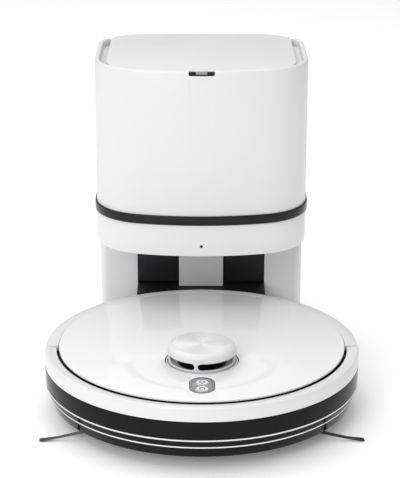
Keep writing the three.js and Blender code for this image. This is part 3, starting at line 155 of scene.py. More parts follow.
def turned(section, centre=(0.0, ROBOT_Y), steps=160):
    """A closed [radius, height] section turned about an upright axis."""

    def place(column, row):
        radius, height = section[row]
        angle = 2 * math.pi * column / steps
        x = centre[0] + radius * math.sin(angle)
        return x, centre[1] - radius * math.cos(angle), height

    return rolled(steps, len(section), place, loop=section[0][0] > 0)


def drawn(section, outline):
    """A closed [inset, height] section carried round an outline that takes an inset."""
    rings = [outline(inset) for inset, _ in section]

    def place(column, row):
        return (*rings[row][column], section[row][1])

    return rolled(len(rings[0]), len(section), place)


def prism(outline, z0, z1):
    def place(column, row):
        return (*outline[column], (z0, z1)[row])

    return rolled(len(outline), 2, place, loop=False)


def block(x, y, z):
    """A cube primitive at its size and place, from three spans in millimetres."""
    deselect()
    centre = [MM * (a + b) / 2 for a, b in (x, y, z)]
    bpy.ops.mesh.primitive_cube_add(size=1, location=centre)
    piece = bpy.context.object
    piece.scale = [MM * (b - a) for a, b in (x, y, z)]
    bpy.ops.object.transform_apply(location=True, rotation=True, scale=True)
    return piece


def rod(radius, start, end, steps=32):
    """A cylinder primitive between two points in millimetres, with a true end face."""
    a, b = Vector(start) * MM, Vector(end) * MM
    deselect()
    bpy.ops.mesh.primitive_cylinder_add(
        vertices=steps,
        radius=radius * MM,
        depth=(b - a).length,
        location=(a + b) / 2,
        rotation=(b - a).to_track_quat("Z", "Y").to_euler(),
    )
    bpy.ops.object.transform_apply(location=True, rotation=True, scale=True)
    return bpy.context.object


# %% [markdown]
# ## Rounding, cutting and joining
# No moulded edge is sharp, so a bevel goes on every edge that turns by more than an angle.
# Openings are cut with the Boolean modifier, and modifiers are applied at once, so that the
# next step works on plain faces. A last helper names a piece and sets the body it rides on.

# %% Rounding, cutting and joining
def rounded(piece, radius=0.5, segments=3, angle=32.0):
    """Rounds every edge sharper than the angle and smooths the shading between them."""
    pick(piece)
    if radius > 0:
        bevel = piece.modifiers.new("edge", "BEVEL")
        bevel.width = radius * MM
        bevel.segments = segments
        bevel.limit_method = "ANGLE"
        bevel.angle_limit = math.radians(angle)
        bevel.use_clamp_overlap = True
        bpy.ops.object.modifier_apply(modifier=bevel.name)
    bpy.ops.object.shade_smooth_by_angle(angle=math.radians(angle))
    return piece


def combined(piece, *others, how="DIFFERENCE"):
    """Cuts, adds or keeps what is shared, by Boolean modifiers that are applied."""
    for other in others:
        pick(piece)
        boolean = piece.modifiers.new("cut", "BOOLEAN")
        boolean.operation = how
        boolean.solver = "EXACT"
        boolean.object = other
        bpy.ops.object.modifier_apply(modifier=boolean.name)
        bpy.data.objects.remove(other)
    return piece


def joined(piece, *others):
    deselect()
    for other in others:
        other.select_set(True)
    piece.select_set(True)
    bpy.context.view_layer.objects.active = piece
    bpy.ops.object.join()
    return piece


def refined(node, radius=0.3, segments=2):
    """A working solid's copy with its triangles merged into faces and its edges rounded."""
    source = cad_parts[node]
    piece = bpy.data.objects.new(node, source.data.copy())
    bpy.context.scene.collection.objects.link(piece)
    pick(piece)
    bpy.ops.object.mode_set(mode="EDIT")
    bpy.ops.mesh.select_all(action="SELECT")
    bpy.ops.mesh.remove_doubles(threshold=1e-6)
    bpy.ops.mesh.dissolve_limited(angle_limit=math.radians(0.5))
    bpy.ops.object.mode_set(mode="OBJECT")
    return rounded(piece, radius, segments)


def finished(piece, name, material, body, slot, *nodes):
    """Names a piece, gives it its material and lets it ride on its body."""
    piece.name = name
    piece.data.name = name
    piece.data.materials.clear()
    piece.data.materials.append(material)
    for face in piece.data.polygons:
        face.material_index = 0
    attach(piece, body)
    if nodes:
        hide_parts(*nodes)
    print(f"{name}: {len(piece.data.polygons)} faces")
    return piece


# %% [markdown]
# ## How a finish is made
# Every finish starts from a real material. One function adds a node with its settings and
# links. A second lays down what nearly all these surfaces share: a colour that is never
# perfectly even, a gloss that varies in broad soft clouds, and a fine grain left by the
# mould. What differs is how much of each there is, and at what size.

# %% Colours and nodes
def linear(hex_colour):
    """An sRGB hex colour as linear values with full opacity."""
    parts = [int(hex_colour[i : i + 2], 16) / 255 for i in (0, 2, 4)]
    return (*[p / 12.92 if p <= 0.04045 else ((p + 0.055) / 1.055) ** 2.4 for p in parts], 1.0)


def add(tree, kind, inputs=None, **settings):
    """Adds one node with its settings; an input is a value or another node's output."""
    made = tree.nodes.new("ShaderNode" + kind)
    for name, value in settings.items():
        setattr(made, name, value)
    for name, value in (inputs or {}).items():
        if isinstance(value, bpy.types.NodeSocket):
            tree.links.new(value, made.inputs[name])
        else:
            made.inputs[name].default_value = value
    return made


CLOUD_MM = 70.0  # size of the soft clouds in a surface's gloss


def surface(name, light, dark, gloss, grain_mm, relief_mm, stretch=(1, 1, 1), **sockets):
    """A finish whose colour runs from light to dark, and its roughness over gloss."""
    material = bpy.data.materials.new(name)
    material.use_nodes = True
    tree = material.node_tree
    shader = tree.nodes["Principled BSDF"]
    place = add(tree, "TexCoord").outputs["Object"]
    laid = add(tree, "Mapping", {"Vector": place, "Scale": stretch}).outputs["Vector"]
    cloud = add(tree, "TexNoise", {"Vector": place, "Scale": 1 / (CLOUD_MM * MM), "Detail": 3.0})
    grain = add(tree, "TexNoise", {"Vector": laid, "Scale": 1 / (grain_mm * MM), "Detail": 2.0})
    noises = {0: cloud.outputs["Fac"], 1: grain.outputs["Fac"]}
    blend = add(tree, "Math", noises, operation="MULTIPLY")
    ends = {"Fac": blend.outputs[0], "Color1": linear(light), "Color2": linear(dark)}
    colour = add(tree, "MixRGB", ends)
    spread = {"Value": cloud.outputs["Fac"], "From Min": 0.3, "From Max": 0.7}
    spread.update({"To Min": gloss[0], "To Max": gloss[1]})
    rough = add(tree, "MapRange", spread)
    bump = {"Height": grain.outputs["Fac"], "Strength": 0.5, "Distance": relief_mm * MM}
    relief = add(tree, "Bump", bump)
    tree.links.new(colour.outputs["Color"], shader.inputs["Base Color"])
    tree.links.new(rough.outputs["Result"], shader.inputs["Roughness"])
    tree.links.new(relief.outputs["Normal"], shader.inputs["Normal"])
    for socket, value in sockets.items():
        shader.inputs[socket.replace("_", " ")].default_value = value
    return material


# %% [markdown]
# ## The plastics
# Nearly everything outside is ABS, injection moulded. Where the tool was lightly blasted the
# plastic comes out satin, and where it was polished, or lacquered afterwards, it is glossy.
# ABS has an IOR of about 1.53. The blasting leaves a grain of some tenths of a millimetre,
# which is drawn a little coarser here so that it still shows.

# %% White, grey and black ABS
WHITE_SATIN = surface("abs_white_satin", "E4E4E5", "DEDEDF", (0.30, 0.40), 0.9, 0.006, IOR=1.53)
WHITE_GLOSS = surface("abs_white_polished", "F0F0F1", "ECECED", (0.03, 0.06), 2.5, 0.0008, IOR=1.4)
GREY_SATIN = surface("abs_grey_satin", "CFCFD0", "C6C6C7", (0.32, 0.42), 0.8, 0.008, IOR=1.53)
KEY_GREY = surface("abs_light_grey_satin", "969698", "8D8D8F", (0.28, 0.36), 0.8, 0.006, IOR=1.53)
BLACK_GLOSS = surface("abs_black_polished", "111112", "0B0B0C", (0.04, 0.08), 2.5, 0.0008, IOR=1.24)
BLACK_RING = surface("abs_black_semi_gloss", "18181A", "121213", (0.16, 0.24), 1.2, 0.003, IOR=1.33)
BLACK_SATIN = surface("abs_black_satin", "151516", "0E0E0F", (0.40, 0.52), 0.7, 0.012, IOR=1.3)
INNER_GREY = surface("abs_dark_grey_satin", "6F7275", "64676A", (0.42, 0.52), 0.9, 0.01, IOR=1.53)
SMOKED = surface("polycarbonate_smoked", "29292B", "222224", (0.05, 0.1), 2.0, 0.001, IOR=1.3)
print("plastics:", len(bpy.data.materials))

# %% [markdown]
# ## Rubber, nylon, metal, board and paper
# The tyres and seals are rubber, matt and dusty-looking because their surface is rough at a
# scale too fine to see. The bristles are nylon. The charging pads are gold-plated brass, and
# the pins are drawn steel, whose fine lines run along them. The bag is non-woven
# polypropylene, pressed from loose fibres, so it shows a soft tangle and no threads.

# %% Other finishes
RUBBER = surface("rubber_moulded", "2A2A2B", "1E1E1F", (0.72, 0.88), 0.5, 0.03, IOR=1.52)
BRISTLE = surface("nylon_bristle", "2B2C2E", "1B1C1D", (0.35, 0.5), 0.6, 0.02, IOR=1.53)
STEEL = surface(
    "steel_drawn", "B9BBBE", "A4A6A9", (0.22, 0.34), 0.8, 0.006, (0.05, 1, 1), Metallic=1.0
)
PLATED = surface("brass_gold_plated", "E2C27A", "D0AC60", (0.18, 0.28), 0.8, 0.004, Metallic=1.0)
BAG = surface("non_woven_polypropylene", "ECE7DD", "CFC8BA", (0.85, 0.95), 1.3, 0.25, IOR=1.49)
FLEECE = surface("filter_fleece", "E6E5DF", "C9C8C0", (0.85, 0.95), 0.9, 0.15, IOR=1.49)
BOARD = surface("solder_mask_green", "1F5C3C", "184A30", (0.28, 0.4), 1.6, 0.02, IOR=1.55)
SLEEVE = surface("pvc_shrink_sleeve", "2B5F9A", "244F82", (0.2, 0.32), 3.0, 0.02, IOR=1.54)
print("finishes:", len(bpy.data.materials))

# %% [markdown]
# ## The floor
# The floor is matt white paper. It glows very faintly, as paper does when it is lit through
# from behind, which keeps the shadows round the product open.

# %% Seamless sweep
FLOOR = surface("paper_sweep", "FCFCFC", "FAFAFA", (0.8, 0.9), 4.0, 0.001, IOR=1.3)
glow = FLOOR.node_tree.nodes["Principled BSDF"].inputs
glow["Emission Color"].default_value = (1, 1, 1, 1)
glow["Emission Strength"].default_value = 0.13
deselect()
bpy.ops.mesh.primitive_plane_add(size=14.0, location=(0, 3.0, -0.0002))
floor = bpy.context.object
floor.name = "studio_floor"
floor.data.materials.append(FLOOR)

# %% [markdown]
# # The robot
# ## The shell
# A disc of 350 mm. The front half is a bumper that slides back when it is pushed, and the
# back half is fixed. Both are rings cut by a straight line, so their sections are carried
# along an arc that ends on that line instead of on a radius.

# %% Rings cut by a straight line
ROBOT_R = 175.0
REAR_R = 174.4
SHELL_WALL = 2.4
SEAM_FRONT = 7.8  # the bumper ends this far in front of the robot's middle
SEAM_REAR = 6.0  # and the rear shell starts here
ARC_STEPS = 112


def arc_piece(section, line, front):
    """A closed [radius, height] section carried along the arc in front of or behind a line."""
    side = -1 if front else 1

    def place(column, row):
        radius, height = section[row]
        reach = math.acos(side * -line / radius)
        angle = reach * (2 * column / ARC_STEPS - 1)
        return radius * math.sin(angle), ROBOT_Y + side * radius * math.cos(angle), height

    return rolled(ARC_STEPS + 1, len(section), place, ring=False)


# %% [markdown]
# ## Bumper and rear shell
# The two white rings have the same rolled shoulder. The bumper's ledge slopes a little towards
# the lid, and under it lies the black deck. The deck's black is painted shade: it makes the thin
# dark line of the seam round the lid. The rear shell has a port, through which the station
# empties the bin.

# %% White bumper and rear shell
bumper = arc_piece(
    [
        (161.6, 71.5),
        (172.6, 73.3),
        (174.2, 72.4),
        (ROBOT_R, 70.4),
        (ROBOT_R, 57.3),
        (ROBOT_R - SHELL_WALL, 57.3),
        (ROBOT_R - SHELL_WALL, 67.0),
        (170.8, 68.8),
        (161.6, 68.8),
    ],
    SEAM_FRONT,
    True,
)
rounded(bumper, 0.5)
finished(bumper, "bumper_top", WHITE_SATIN, "bumper", "body_white", "bumper_shell")

rear = arc_piece(
    [
        (159.6, 73.4),
        (172.0, 73.2),
        (173.6, 72.3),
        (REAR_R, 70.4),
        (REAR_R, 31.0),
        (REAR_R - SHELL_WALL, 31.0),
        (REAR_R - SHELL_WALL, 66.5),
        (159.6, 66.5),
    ],
    SEAM_REAR,
    False,
)
port = block((-25.0, 25.0), (88.0, 120.0), (25.5, 56.0))
combined(rear, port)
rounded(rear, 0.5)
finished(rear, "rear_shell", WHITE_SATIN, "robot", "body_white", "upper_cover")
# The deck is black as painted shade in the seam round the lid.
deck = turned([(120.0, 66.5), (159.4, 66.5), (159.4, 68.9), (120.0, 68.9)], steps=96)
finished(rounded(deck, 0.3, 2), "deck_plate_painted_shade", BLACK_SATIN, "robot", "body_black")

# %% [markdown]
# ## The black band and its light stripes
# Below the white rim the bumper is a polished black window for the obstacle sensors. It
# stands straight at the top and leans in towards the floor. Two pale stripes run round it
# and meet at the sides, one long closed loop let into the band. The groove is cut with the
# same loop that is then laid into it, only a hair wider.

# %% Band and stripes
BAND_FOOT = 36.0
STRIPE_ENDS = 77.0  # degrees from the front
STRIPE_LOW = (26.1, 28.1)
STRIPE_HIGH = (35.1, 36.7)


def band_radius(height):
    lean = 7.0 * (height - 15.0) / (BAND_FOOT - 15.0)
    return ROBOT_R if height > BAND_FOOT else 168.0 + lean


def stripe_path(steps=150, turn=10):
    """The loop's centre line as (angle, height) pairs: along, up, back and down."""
    low, high = sum(STRIPE_LOW) / 2, sum(STRIPE_HIGH) / 2
    middle, reach = (low + high) / 2, (high - low) / 2
    bend = math.degrees(reach / ROBOT_R)
    ends = STRIPE_ENDS - bend
    line = [ends * (2 * n / steps - 1) for n in range(steps + 1)]
    arc = [math.pi * (n / turn - 0.5) for n in range(1, turn)]
    path = [(a, low) for a in line]
    path += [(ends + bend * math.cos(t), middle + reach * math.sin(t)) for t in arc]
    path += [(-a, high) for a in line]
    path += [(-ends - bend * math.cos(t), middle - reach * math.sin(t)) for t in arc]
    return path


def stripe_loop(half, outside, inside):
    """A band of the given half width along the loop, between two depths in the window."""
    path = stripe_path()
    count = len(path)

    def place(column, row):
        before, after = path[column - 1], path[(column + 1) % count]
        angle, height = path[column]
        along = Vector((math.radians(after[0] - before[0]) * ROBOT_R, after[1] - before[1]))
        across = Vector((along.y, -along.x)).normalized()
        side = (half, half, -half, -half)[row]
        turn = math.radians(angle) + side * across.x / ROBOT_R
        level = height + side * across.y
        radius = band_radius(level) - (outside, inside, inside, outside)[row]
        return radius * math.sin(turn), ROBOT_Y - radius * math.cos(turn), level

    return rolled(count, 4, place)


band = arc_piece(
    [(172.6, 57.0), (175.0, 57.0), (175.0, 36.0), (168.0, 15.0), (165.6, 15.0), (172.6, 36.0)],
    SEAM_FRONT,
    True,
)
rounded(band, 0.6)
combined(band, stripe_loop(1.2, -2.0, 1.3))
bpy.ops.object.shade_smooth_by_angle(angle=math.radians(25))
finished(band, "bumper_band", BLACK_GLOSS, "bumper", "band_black", "bumper_window")

STRIPE = surface("abs_white_diffuser", "EDEDED", "E4E4E4", (0.2, 0.28), 1.0, 0.002, IOR=1.53)
stripe = rounded(stripe_loop(0.92, 0.0, 1.1), 0.25, 2)
finished(stripe, "bumper_stripes", STRIPE, "bumper", "trim_white", "bumper_trim")

# %% [markdown]
# ## The lid
# The lid is a flat disc polished like a piano key, so it mirrors the station behind it. It
# has a round hole for the turret and a long one for the keys. The holes are cut before the
# edges are rounded, so that every edge catches the light in the same way.

# %% Lid
LID_R = 158.9
LID_Z = (72.3, 74.0)
TURRET = (0.0, -119.5)
PAD_Y = -188.4


def stadium(width, length, y, inset=0.0, steps=16):
    """A long outline with half-round ends, from above."""
    radius = width / 2 - inset
    straight = (length - width) / 2
    outline = []
    for n in range(2 * steps + 2):
        half = n // (steps + 1)
        angle = math.pi * (half + (n % (steps + 1)) / steps)
        rise = straight if half == 0 else -straight
        outline.append((radius * math.cos(angle), y + rise + radius * math.sin(angle)))
    return outline


lid = turned([(0, LID_Z[0]), (LID_R, LID_Z[0]), (LID_R, LID_Z[1]), (0, LID_Z[1])], steps=192)
turret_hole = turned([(0, 60), (40.4, 60), (40.4, 80), (0, 80)], TURRET, 96)
pad_hole = prism(stadium(27.6, 42.6, PAD_Y), 60, 80)
combined(lid, turret_hole, pad_hole)
rounded(lid, 0.4, 3)
finished(lid, "robot_lid", WHITE_GLOSS, "robot", "lid_white", "top_plate")

# A black ring under the lid's edge, whose black is painted shade in the seam below the lid.
under = turned([(145, 70.8), (156.4, 70.8), (156.4, 72.2), (145, 72.2)], steps=128)
finished(rounded(under, 0.2, 2), "lid_carrier_painted_shade", BLACK_SATIN, "robot", "body_black")

# %% [markdown]
# ## The turret
# Inside the turret a laser head spins and looks out through four long slots. Between the
# slots stand four thin posts. The cap on top is a disc with a bright bevelled ring, and the
# whole thing stands in a dish with a pale rim. The slots have round ends, so each cutter is
# a long outline that is bent round the turret.

# %% Turret cap
SLOT = (76.2, 84.2)
POST_W = 3.2
POST_TURN = -10.0


def slot_cutter(middle, radius=36.7, steps=12):
    """A round-ended bar bent round the turret, to cut one slot between two posts."""
    half = (2 * math.pi * radius / 4 - POST_W) / 2
    tall = (SLOT[1] - SLOT[0]) / 2
    flat = []
    for n in range(2 * steps + 2):
        end = n // (steps + 1)
        angle = math.pi * (end - 0.5 + (n % (steps + 1)) / steps)
        away = half - tall if end == 0 else tall - half
        flat.append((away + tall * math.cos(angle), tall * math.sin(angle)))
    around, levels = [], []
    for (x0, z0), (x1, z1) in zip(flat, flat[1:] + flat[:1]):
        pieces = 14 if abs(x1 - x0) > half else 1
        for n in range(pieces):
            around.append(x0 + (x1 - x0) * n / pieces)
            levels.append(z0 + (z1 - z0) * n / pieces)

    def place(column, row):
        angle = math.radians(middle) + around[column] / radius
        reach = (radius - 7.0, radius + 16.0)[row]
        x, y = reach * math.sin(angle), -reach * math.cos(angle)
        return TURRET[0] + x, TURRET[1] + y, sum(SLOT) / 2 + levels[column]

    return rolled(len(around), 2, place, loop=False)


cap = turned(
    [
        (0.0, 93.1),
        (32.4, 93.1),
        (32.7, 93.8),
        (33.4, 93.7),
        (36.3, 91.0),
        (37.1, 89.6),
        (37.3, 87.8),
        (36.7, 75.0),
        (36.1, 73.0),
        (34.5, 73.0),
        (34.2, 87.6),
        (30.5, 91.3),
        (0.0, 91.3),
    ],
    TURRET,
    128,
)
combined(cap, *[slot_cutter(POST_TURN + 45 + 90 * n) for n in range(4)])
rounded(cap, 0.3, 2, 40)
finished(cap, "turret_cap", WHITE_SATIN, "robot", "body_white", "turret_cover")

# %% [markdown]
# ## The spun disc
# The disc in the cap is metallised plastic that was brushed on a turntable. Its fine lines
# run in circles, so the light gathers in pale and dark wedges that meet in the middle, as on
# the lid of a pan. The wedges are painted sheen: a wave in the angle round the middle lightens
# and darkens the base colour. The lines are drawn by rings a third of a millimetre apart.

# %% Brushed disc in the cap, with painted sheen
# How many pale and dark wedges of painted sheen go round the disc.
PAINTED_SHEEN_WEDGES = 3.0
SPUN_MM = 0.35
SPUN_WITH_PAINTED_SHEEN = surface(
    "abs_metallised_spun_painted_sheen", "F1F1F2", "EAEAEB", (0.16, 0.24), 0.6, 0.001, IOR=1.5, Metallic=0.2
)
tree = SPUN_WITH_PAINTED_SHEEN.node_tree
shader = tree.nodes["Principled BSDF"]
centred = add(
    tree,
    "Mapping",
    {"Vector": add(tree, "TexCoord").outputs["Object"], "Location": (0, 0.1195, 0)},
).outputs["Vector"]
# Painted sheen: the base colour turns pale and dark in wedges by the angle round the middle.
around = add(tree, "TexGradient", {"Vector": centred}, gradient_type="RADIAL")
turns = {0: around.outputs["Fac"], 1: 2 * math.pi * PAINTED_SHEEN_WEDGES, 2: 0.9}
turned_by = add(tree, "Math", turns, operation="MULTIPLY_ADD")
wave = add(tree, "Math", {0: turned_by.outputs[0]}, operation="SINE")
share = add(tree, "MapRange", {"Value": wave.outputs[0], "From Min": -1.0, "From Max": 1.0})
painted_sheen_wedges = add(
    tree,
    "MixRGB",
    {"Fac": share.outputs["Result"], "Color1": linear("E0E0E1"), "Color2": linear("F3F3F4")},
)
lines = add(
    tree,
    "TexWave",
    {"Vector": centred, "Scale": 1 / (20 * SPUN_MM * MM), "Distortion": 0.0},
    wave_type="RINGS",
    rings_direction="Z",
)
grooves = add(
    tree, "Bump", {"Height": lines.outputs["Fac"], "Strength": 0.25, "Distance": 0.004 * MM}
)
tree.links.new(painted_sheen_wedges.outputs["Color"], shader.inputs["Base Color"])
tree.links.new(grooves.outputs["Normal"], shader.inputs["Normal"])
disc = turned([(0, 93.15), (32.2, 93.15), (32.2, 93.5), (31.9, 93.75), (0, 93.75)], TURRET, 128)
rounded(disc, 0.1, 2)
finished(disc, "turret_disc", SPUN_WITH_PAINTED_SHEEN, "robot", "body_white")

# %% [markdown]
# ## The head and the dish
# The head is a glossy black drum with two lens holes in its face, one to send the beam and one
# to catch it. It turns, so it rides on its own body, while the dish round it is fixed.

# %% Laser head and dish
HEAD_R = 27.0
LENS_Z = 80.4
LENSES = ((-11, 3.4), (8, 4.2))  # each one's place across the head and its hole's radius

head = turned(
    [(0, 79.0), (7.0, 79.0), (7.0, 72.2), (HEAD_R - 1, 72.2), (HEAD_R, 73.2), (HEAD_R, 85.2)]
    + [(HEAD_R - 0.8, 86.0), (0, 86.0)],
    TURRET,
    96,
)
face = TURRET[1] - HEAD_R
combined(head, *[rod(r, (x, face - 4, LENS_Z), (x, face + 8, LENS_Z)) for x, r in LENSES])
rounded(head, 0.3, 2)
finished(head, "laser_head", BLACK_GLOSS, "lidar", "window_black", "lidar_head")

for number, (x, hole) in enumerate(LENSES):
    depth = (TURRET[1] - 19.4, TURRET[1] - 23.4)
    lens = rod(hole - 0.4, (x, depth[0], LENS_Z), (x, depth[1], LENS_Z), 48)
    rounded(lens, 0.8, 4)
    finished(lens, f"laser_lens_{number + 1}", BLACK_GLOSS, "lidar", "window_black")

dish = turned(
    [
        (0.0, 58.6),
        (10.0, 58.6),
        (10.0, 69.4),
        (39.4, 69.4),
        (39.4, 73.2),
        (38.9, 73.9),
        (38.2, 73.9),
        (37.8, 73.4),
        (37.8, 70.7),
        (6.0, 70.7),
        (6.0, 76.4),
        (0.0, 76.4),
    ],
    TURRET,
    128,
)
rounded(dish, 0.25, 2)
finished(dish, "turret_dish", WHITE_SATIN, "robot", "body_white", "lidar_base")

# %% [markdown]
# ## The key pad
# A long pad with half-round ends holds two round keys. Two fine grey lines run round the
# pad, and one round each key. They are thin frames, a few tenths of a millimetre proud. The
# signs on the keys are the usual ones for home and power, and they face the other way
# because the robot's front is towards us.

# %% Pad, frames and keys
PAD_SIZE = (27.0, 42.0)
PAD_TOP = 74.3
KEYS = {"home": -182.0, "power": -198.7}
KEY_R = 7.6
LINE_GREY = surface("ink_grey_printed", "515255", "4A4B4E", (0.3, 0.4), 0.8, 0.004, IOR=1.5)

pad = prism(stadium(*PAD_SIZE, PAD_Y), 69.3, PAD_TOP)
key_hole = [(0, 70.2), (KEY_R + 0.4, 70.2), (KEY_R + 0.4, 80), (0, 80)]
combined(pad, *[turned(key_hole, (0, y), 64) for y in KEYS.values()])
rounded(pad, 0.35, 2)
finished(pad, "key_pad", KEY_GREY, "robot", "key_grey", "button_pad")


def pad_frame(inset, width, top):
    outlines = [stadium(*PAD_SIZE, PAD_Y, inset + step) for step in (0, width)]

    def place(column, row):
        return (*outlines[row in (1, 2)][column], (top - 0.4, top - 0.4, top, top)[row])

    return rolled(len(outlines[0]), 4, place)


frames = joined(pad_frame(0.35, 0.5, PAD_TOP + 0.12), pad_frame(2.3, 0.5, PAD_TOP + 0.12))
finished(frames, "key_pad_lines", LINE_GREY, "robot", "key_grey")

for name, y in KEYS.items():
    key = turned(
        [(0, 71.4), (KEY_R, 71.4), (KEY_R, 74.5), (KEY_R - 0.4, 74.9), (6.2, 74.8), (0, 74.6)],
        (0, y),
        64,
    )
    rounded(key, 0.15, 2)
    finished(key, f"{name}_key", WHITE_SATIN, f"{name}_key", "key_grey", f"{name}_button")
    ring = turned([(6.5, 74.6), (7.1, 74.6), (7.1, 75.0), (6.5, 75.0)], (0, y), 64)
    finished(ring, f"{name}_key_ring", LINE_GREY, f"{name}_key", "key_grey")


# %% [markdown]
# ## Signs
# A sign is printed in one thin coat of ink. Its strokes are flat bars of even width, just proud
# of the key. The power sign's open ring is a row of short bars that overlap.

# %% Signs on the keys
def sign_stroke(points, width, level, closed=False):
    """A flat raised line of even width through points, in millimetres."""
    strokes = []
    ends = list(zip(points, points[1:] + points[:1]))
    for (x0, y0), (x1, y1) in ends if closed else ends[:-1]:
        along = Vector((x1 - x0, y1 - y0)).normalized() * width / 2
        side = Vector((-along.y, along.x))
        a, b = Vector((x0, y0)) - along, Vector((x1, y1)) + along
        corners = [tuple(p + s) for p, s in ((a, side), (a, -side), (b, -side), (b, side))]
        strokes.append(prism(corners, level - 0.25, level))
    return joined(strokes[0], *strokes[1:]) if len(strokes) > 1 else strokes[0]


SIGN_TOP = 74.95
home_y, power_y = KEYS["home"], KEYS["power"]
home_sign = sign_stroke(
    [(-3.2, home_y + 0.4), (0, home_y - 2.9), (3.2, home_y + 0.4)], 0.6, SIGN_TOP
)
walls = sign_stroke(
    [(-2.3, home_y - 0.3), (-2.3, home_y + 2.8), (2.3, home_y + 2.8), (2.3, home_y - 0.3)],
    0.6,
    SIGN_TOP,
)
finished(joined(home_sign, walls), "home_sign", LINE_GREY, "home_key", "key_grey")

arc = [math.radians(a) for a in range(-90 + 40, 271 - 40, 14)]
power_arc = [(2.7 * math.cos(a), power_y + 2.7 * math.sin(a)) for a in arc]
power_sign = sign_stroke(power_arc, 0.6, SIGN_TOP)
bar = sign_stroke([(0, power_y - 3.2), (0, power_y - 0.4)], 0.6, SIGN_TOP)
finished(joined(power_sign, bar), "power_sign", LINE_GREY, "power_key", "key_grey")

# %% [markdown]
# ## Under the robot
# The chassis is a black tub with wells for the wheels, the caster and the main brush. Its
# working solid has the right shape, so a copy of it is merged, its flat triangles are run
# together and its edges are rounded. The same is done for the arms, hubs, forks and frames.

# %% Chassis and the pieces that are refined from their solids
REFINED = {
    "chassis": ("under_tub", BLACK_SATIN, "robot", "body_black", 0.5),
    "brush_guard": ("brush_frame", BLACK_SATIN, "robot", "body_black", 0.4),
    "fan_housing": ("fan_scroll", BLACK_SATIN, "robot", "body_black", 0.5),
    "dust_bin": ("robot_bin", INNER_GREY, "robot", "inner_grey", 0.6),
    "bin_flap": ("bin_door", BLACK_SATIN, "flap", "body_black", 0.3),
    "battery": ("cell_pack", SLEEVE, "robot", "battery_sleeve", 0.8),
    "caster_fork": ("caster_yoke", BLACK_SATIN, "caster", "body_black", 0.3),
    "wheel_arm_left": ("swing_arm_left", BLACK_SATIN, "arm_left", "body_black", 0.5),
    "wheel_arm_right": ("swing_arm_right", BLACK_SATIN, "arm_right", "body_black", 0.5),
    "side_motor_left": ("sweeper_motor_left", STEEL, "robot", "pin_steel", 0.4),
    "side_motor_right": ("sweeper_motor_right", STEEL, "robot", "pin_steel", 0.4),
    "fan_impeller": ("fan_rotor_wheel", INNER_GREY, "fan_rotor", "inner_grey", 0.15),
}
for node, (name, material, body, slot, radius) in REFINED.items():
    finished(refined(node, radius), name, material, body, slot, node)

# %% [markdown]
# ## The wheels
# A tyre is a rubber ring with two rows of cleats that are set at a slant to each other. One
# cleat starts as a block at the top of the wheel and is turned about the axle to its place.

# %% Wheels with treaded tyres
WHEEL_X = 113.0
WHEEL_AT = (-65.0, 31.0)
TREADS = 28


def wheel_turned(section, x, centre, steps=96):
    """A closed [radius, side] section turned about a wheel's level axle."""

    def place(column, row):
        radius, side = section[row]
        angle = 2 * math.pi * column / steps
        y = centre[0] + radius * math.cos(angle)
        return x + side, y, centre[1] + radius * math.sin(angle)

    return rolled(steps, len(section), place)


def mirrored(half):
    """A wheel's whole section from its left half."""
    return half + [(radius, -side) for radius, side in reversed(half)]


TYRE_HALF = [(24.4, -9), (28.2, -9), (29.4, -8), (29.8, -5)]
ROLLER_HALF = [(2.4, -7), (9.5, -7), (12.2, -5.6), (13.0, -2.5)]

for side_name, sign in (("left", -1), ("right", 1)):
    x = sign * WHEEL_X
    tyre = wheel_turned(mirrored(TYRE_HALF), x, WHEEL_AT)
    rounded(tyre, 0.3, 2)
    blocks = []
    for n in range(TREADS):
        turn = 360 * n / TREADS
        for half in (-1, 1):
            cleat = block(
                (x + half * 4.3 - 3.9, x + half * 4.3 + 3.9),
                (WHEEL_AT[0] - 1.3, WHEEL_AT[0] + 1.3),
                (WHEEL_AT[1] + 28.8, WHEEL_AT[1] + 30.9),
            )
            pick(cleat)
            bpy.ops.object.mode_set(mode="EDIT")
            bpy.ops.mesh.select_all(action="SELECT")
            lean = math.radians(turn + half * 2.5)
            middle = (x * MM, WHEEL_AT[0] * MM, WHEEL_AT[1] * MM)
            bpy.ops.transform.rotate(value=lean, orient_axis="X", center_override=middle)
            bpy.ops.object.mode_set(mode="OBJECT")
            blocks.append(cleat)
    treads = rounded(joined(blocks[0], *blocks[1:]), 0.3, 1)
    whole = joined(tyre, treads)
    body = f"drive_{side_name}"
    name, node = f"treaded_tyre_{side_name}", f"tyre_{side_name}"
    finished(whole, name, RUBBER, body, "tyre_rubber", node)
    name, node = f"wheel_hub_{side_name}", f"wheel_{side_name}"
    finished(refined(node, 0.5), name, INNER_GREY, body, "inner_grey", node)

caster_tyre = wheel_turned(mirrored(ROLLER_HALF), 0.0, (-190.0, 13.0), 64)
rounded(caster_tyre, 0.3, 2)
finished(caster_tyre, "caster_roller_tyre", RUBBER, "caster_roller", "tyre_rubber", "caster_wheel")

# %% [markdown]
# ## Brushes
# The main brush is a core with strips that wind a little way round it: some of rubber, some
# of bristles. The side brush is a hub with drooping arms, and each arm is a fan of thin
# nylon bristles that droop to the floor and spread towards their tips. One bristle is a bent
# three-sided rod, so hundreds of them stay light.

# %% Main brush
BRUSH_AT = (-25.0, 20.5)
BRUSH_HALF = 78.0


def brush_strip(number, radius, thick, wind=50.0, steps=40):
    """A thin strip that winds along the core, as a section carried along the axle."""

    def place(column, row):
        along = column / steps
        turn = math.radians(60 * number + wind * abs(2 * along - 1))
        reach = (10.4, radius, radius, 10.4)[row]
        side = (-thick, -thick, thick, thick)[row] / 2
        y = reach * math.cos(turn) - side * math.sin(turn)
        z = reach * math.sin(turn) + side * math.cos(turn)
        return BRUSH_HALF * 1.9 * (along - 0.5), BRUSH_AT[0] + y, BRUSH_AT[1] + z

    return rolled(steps + 1, 4, place, ring=False)


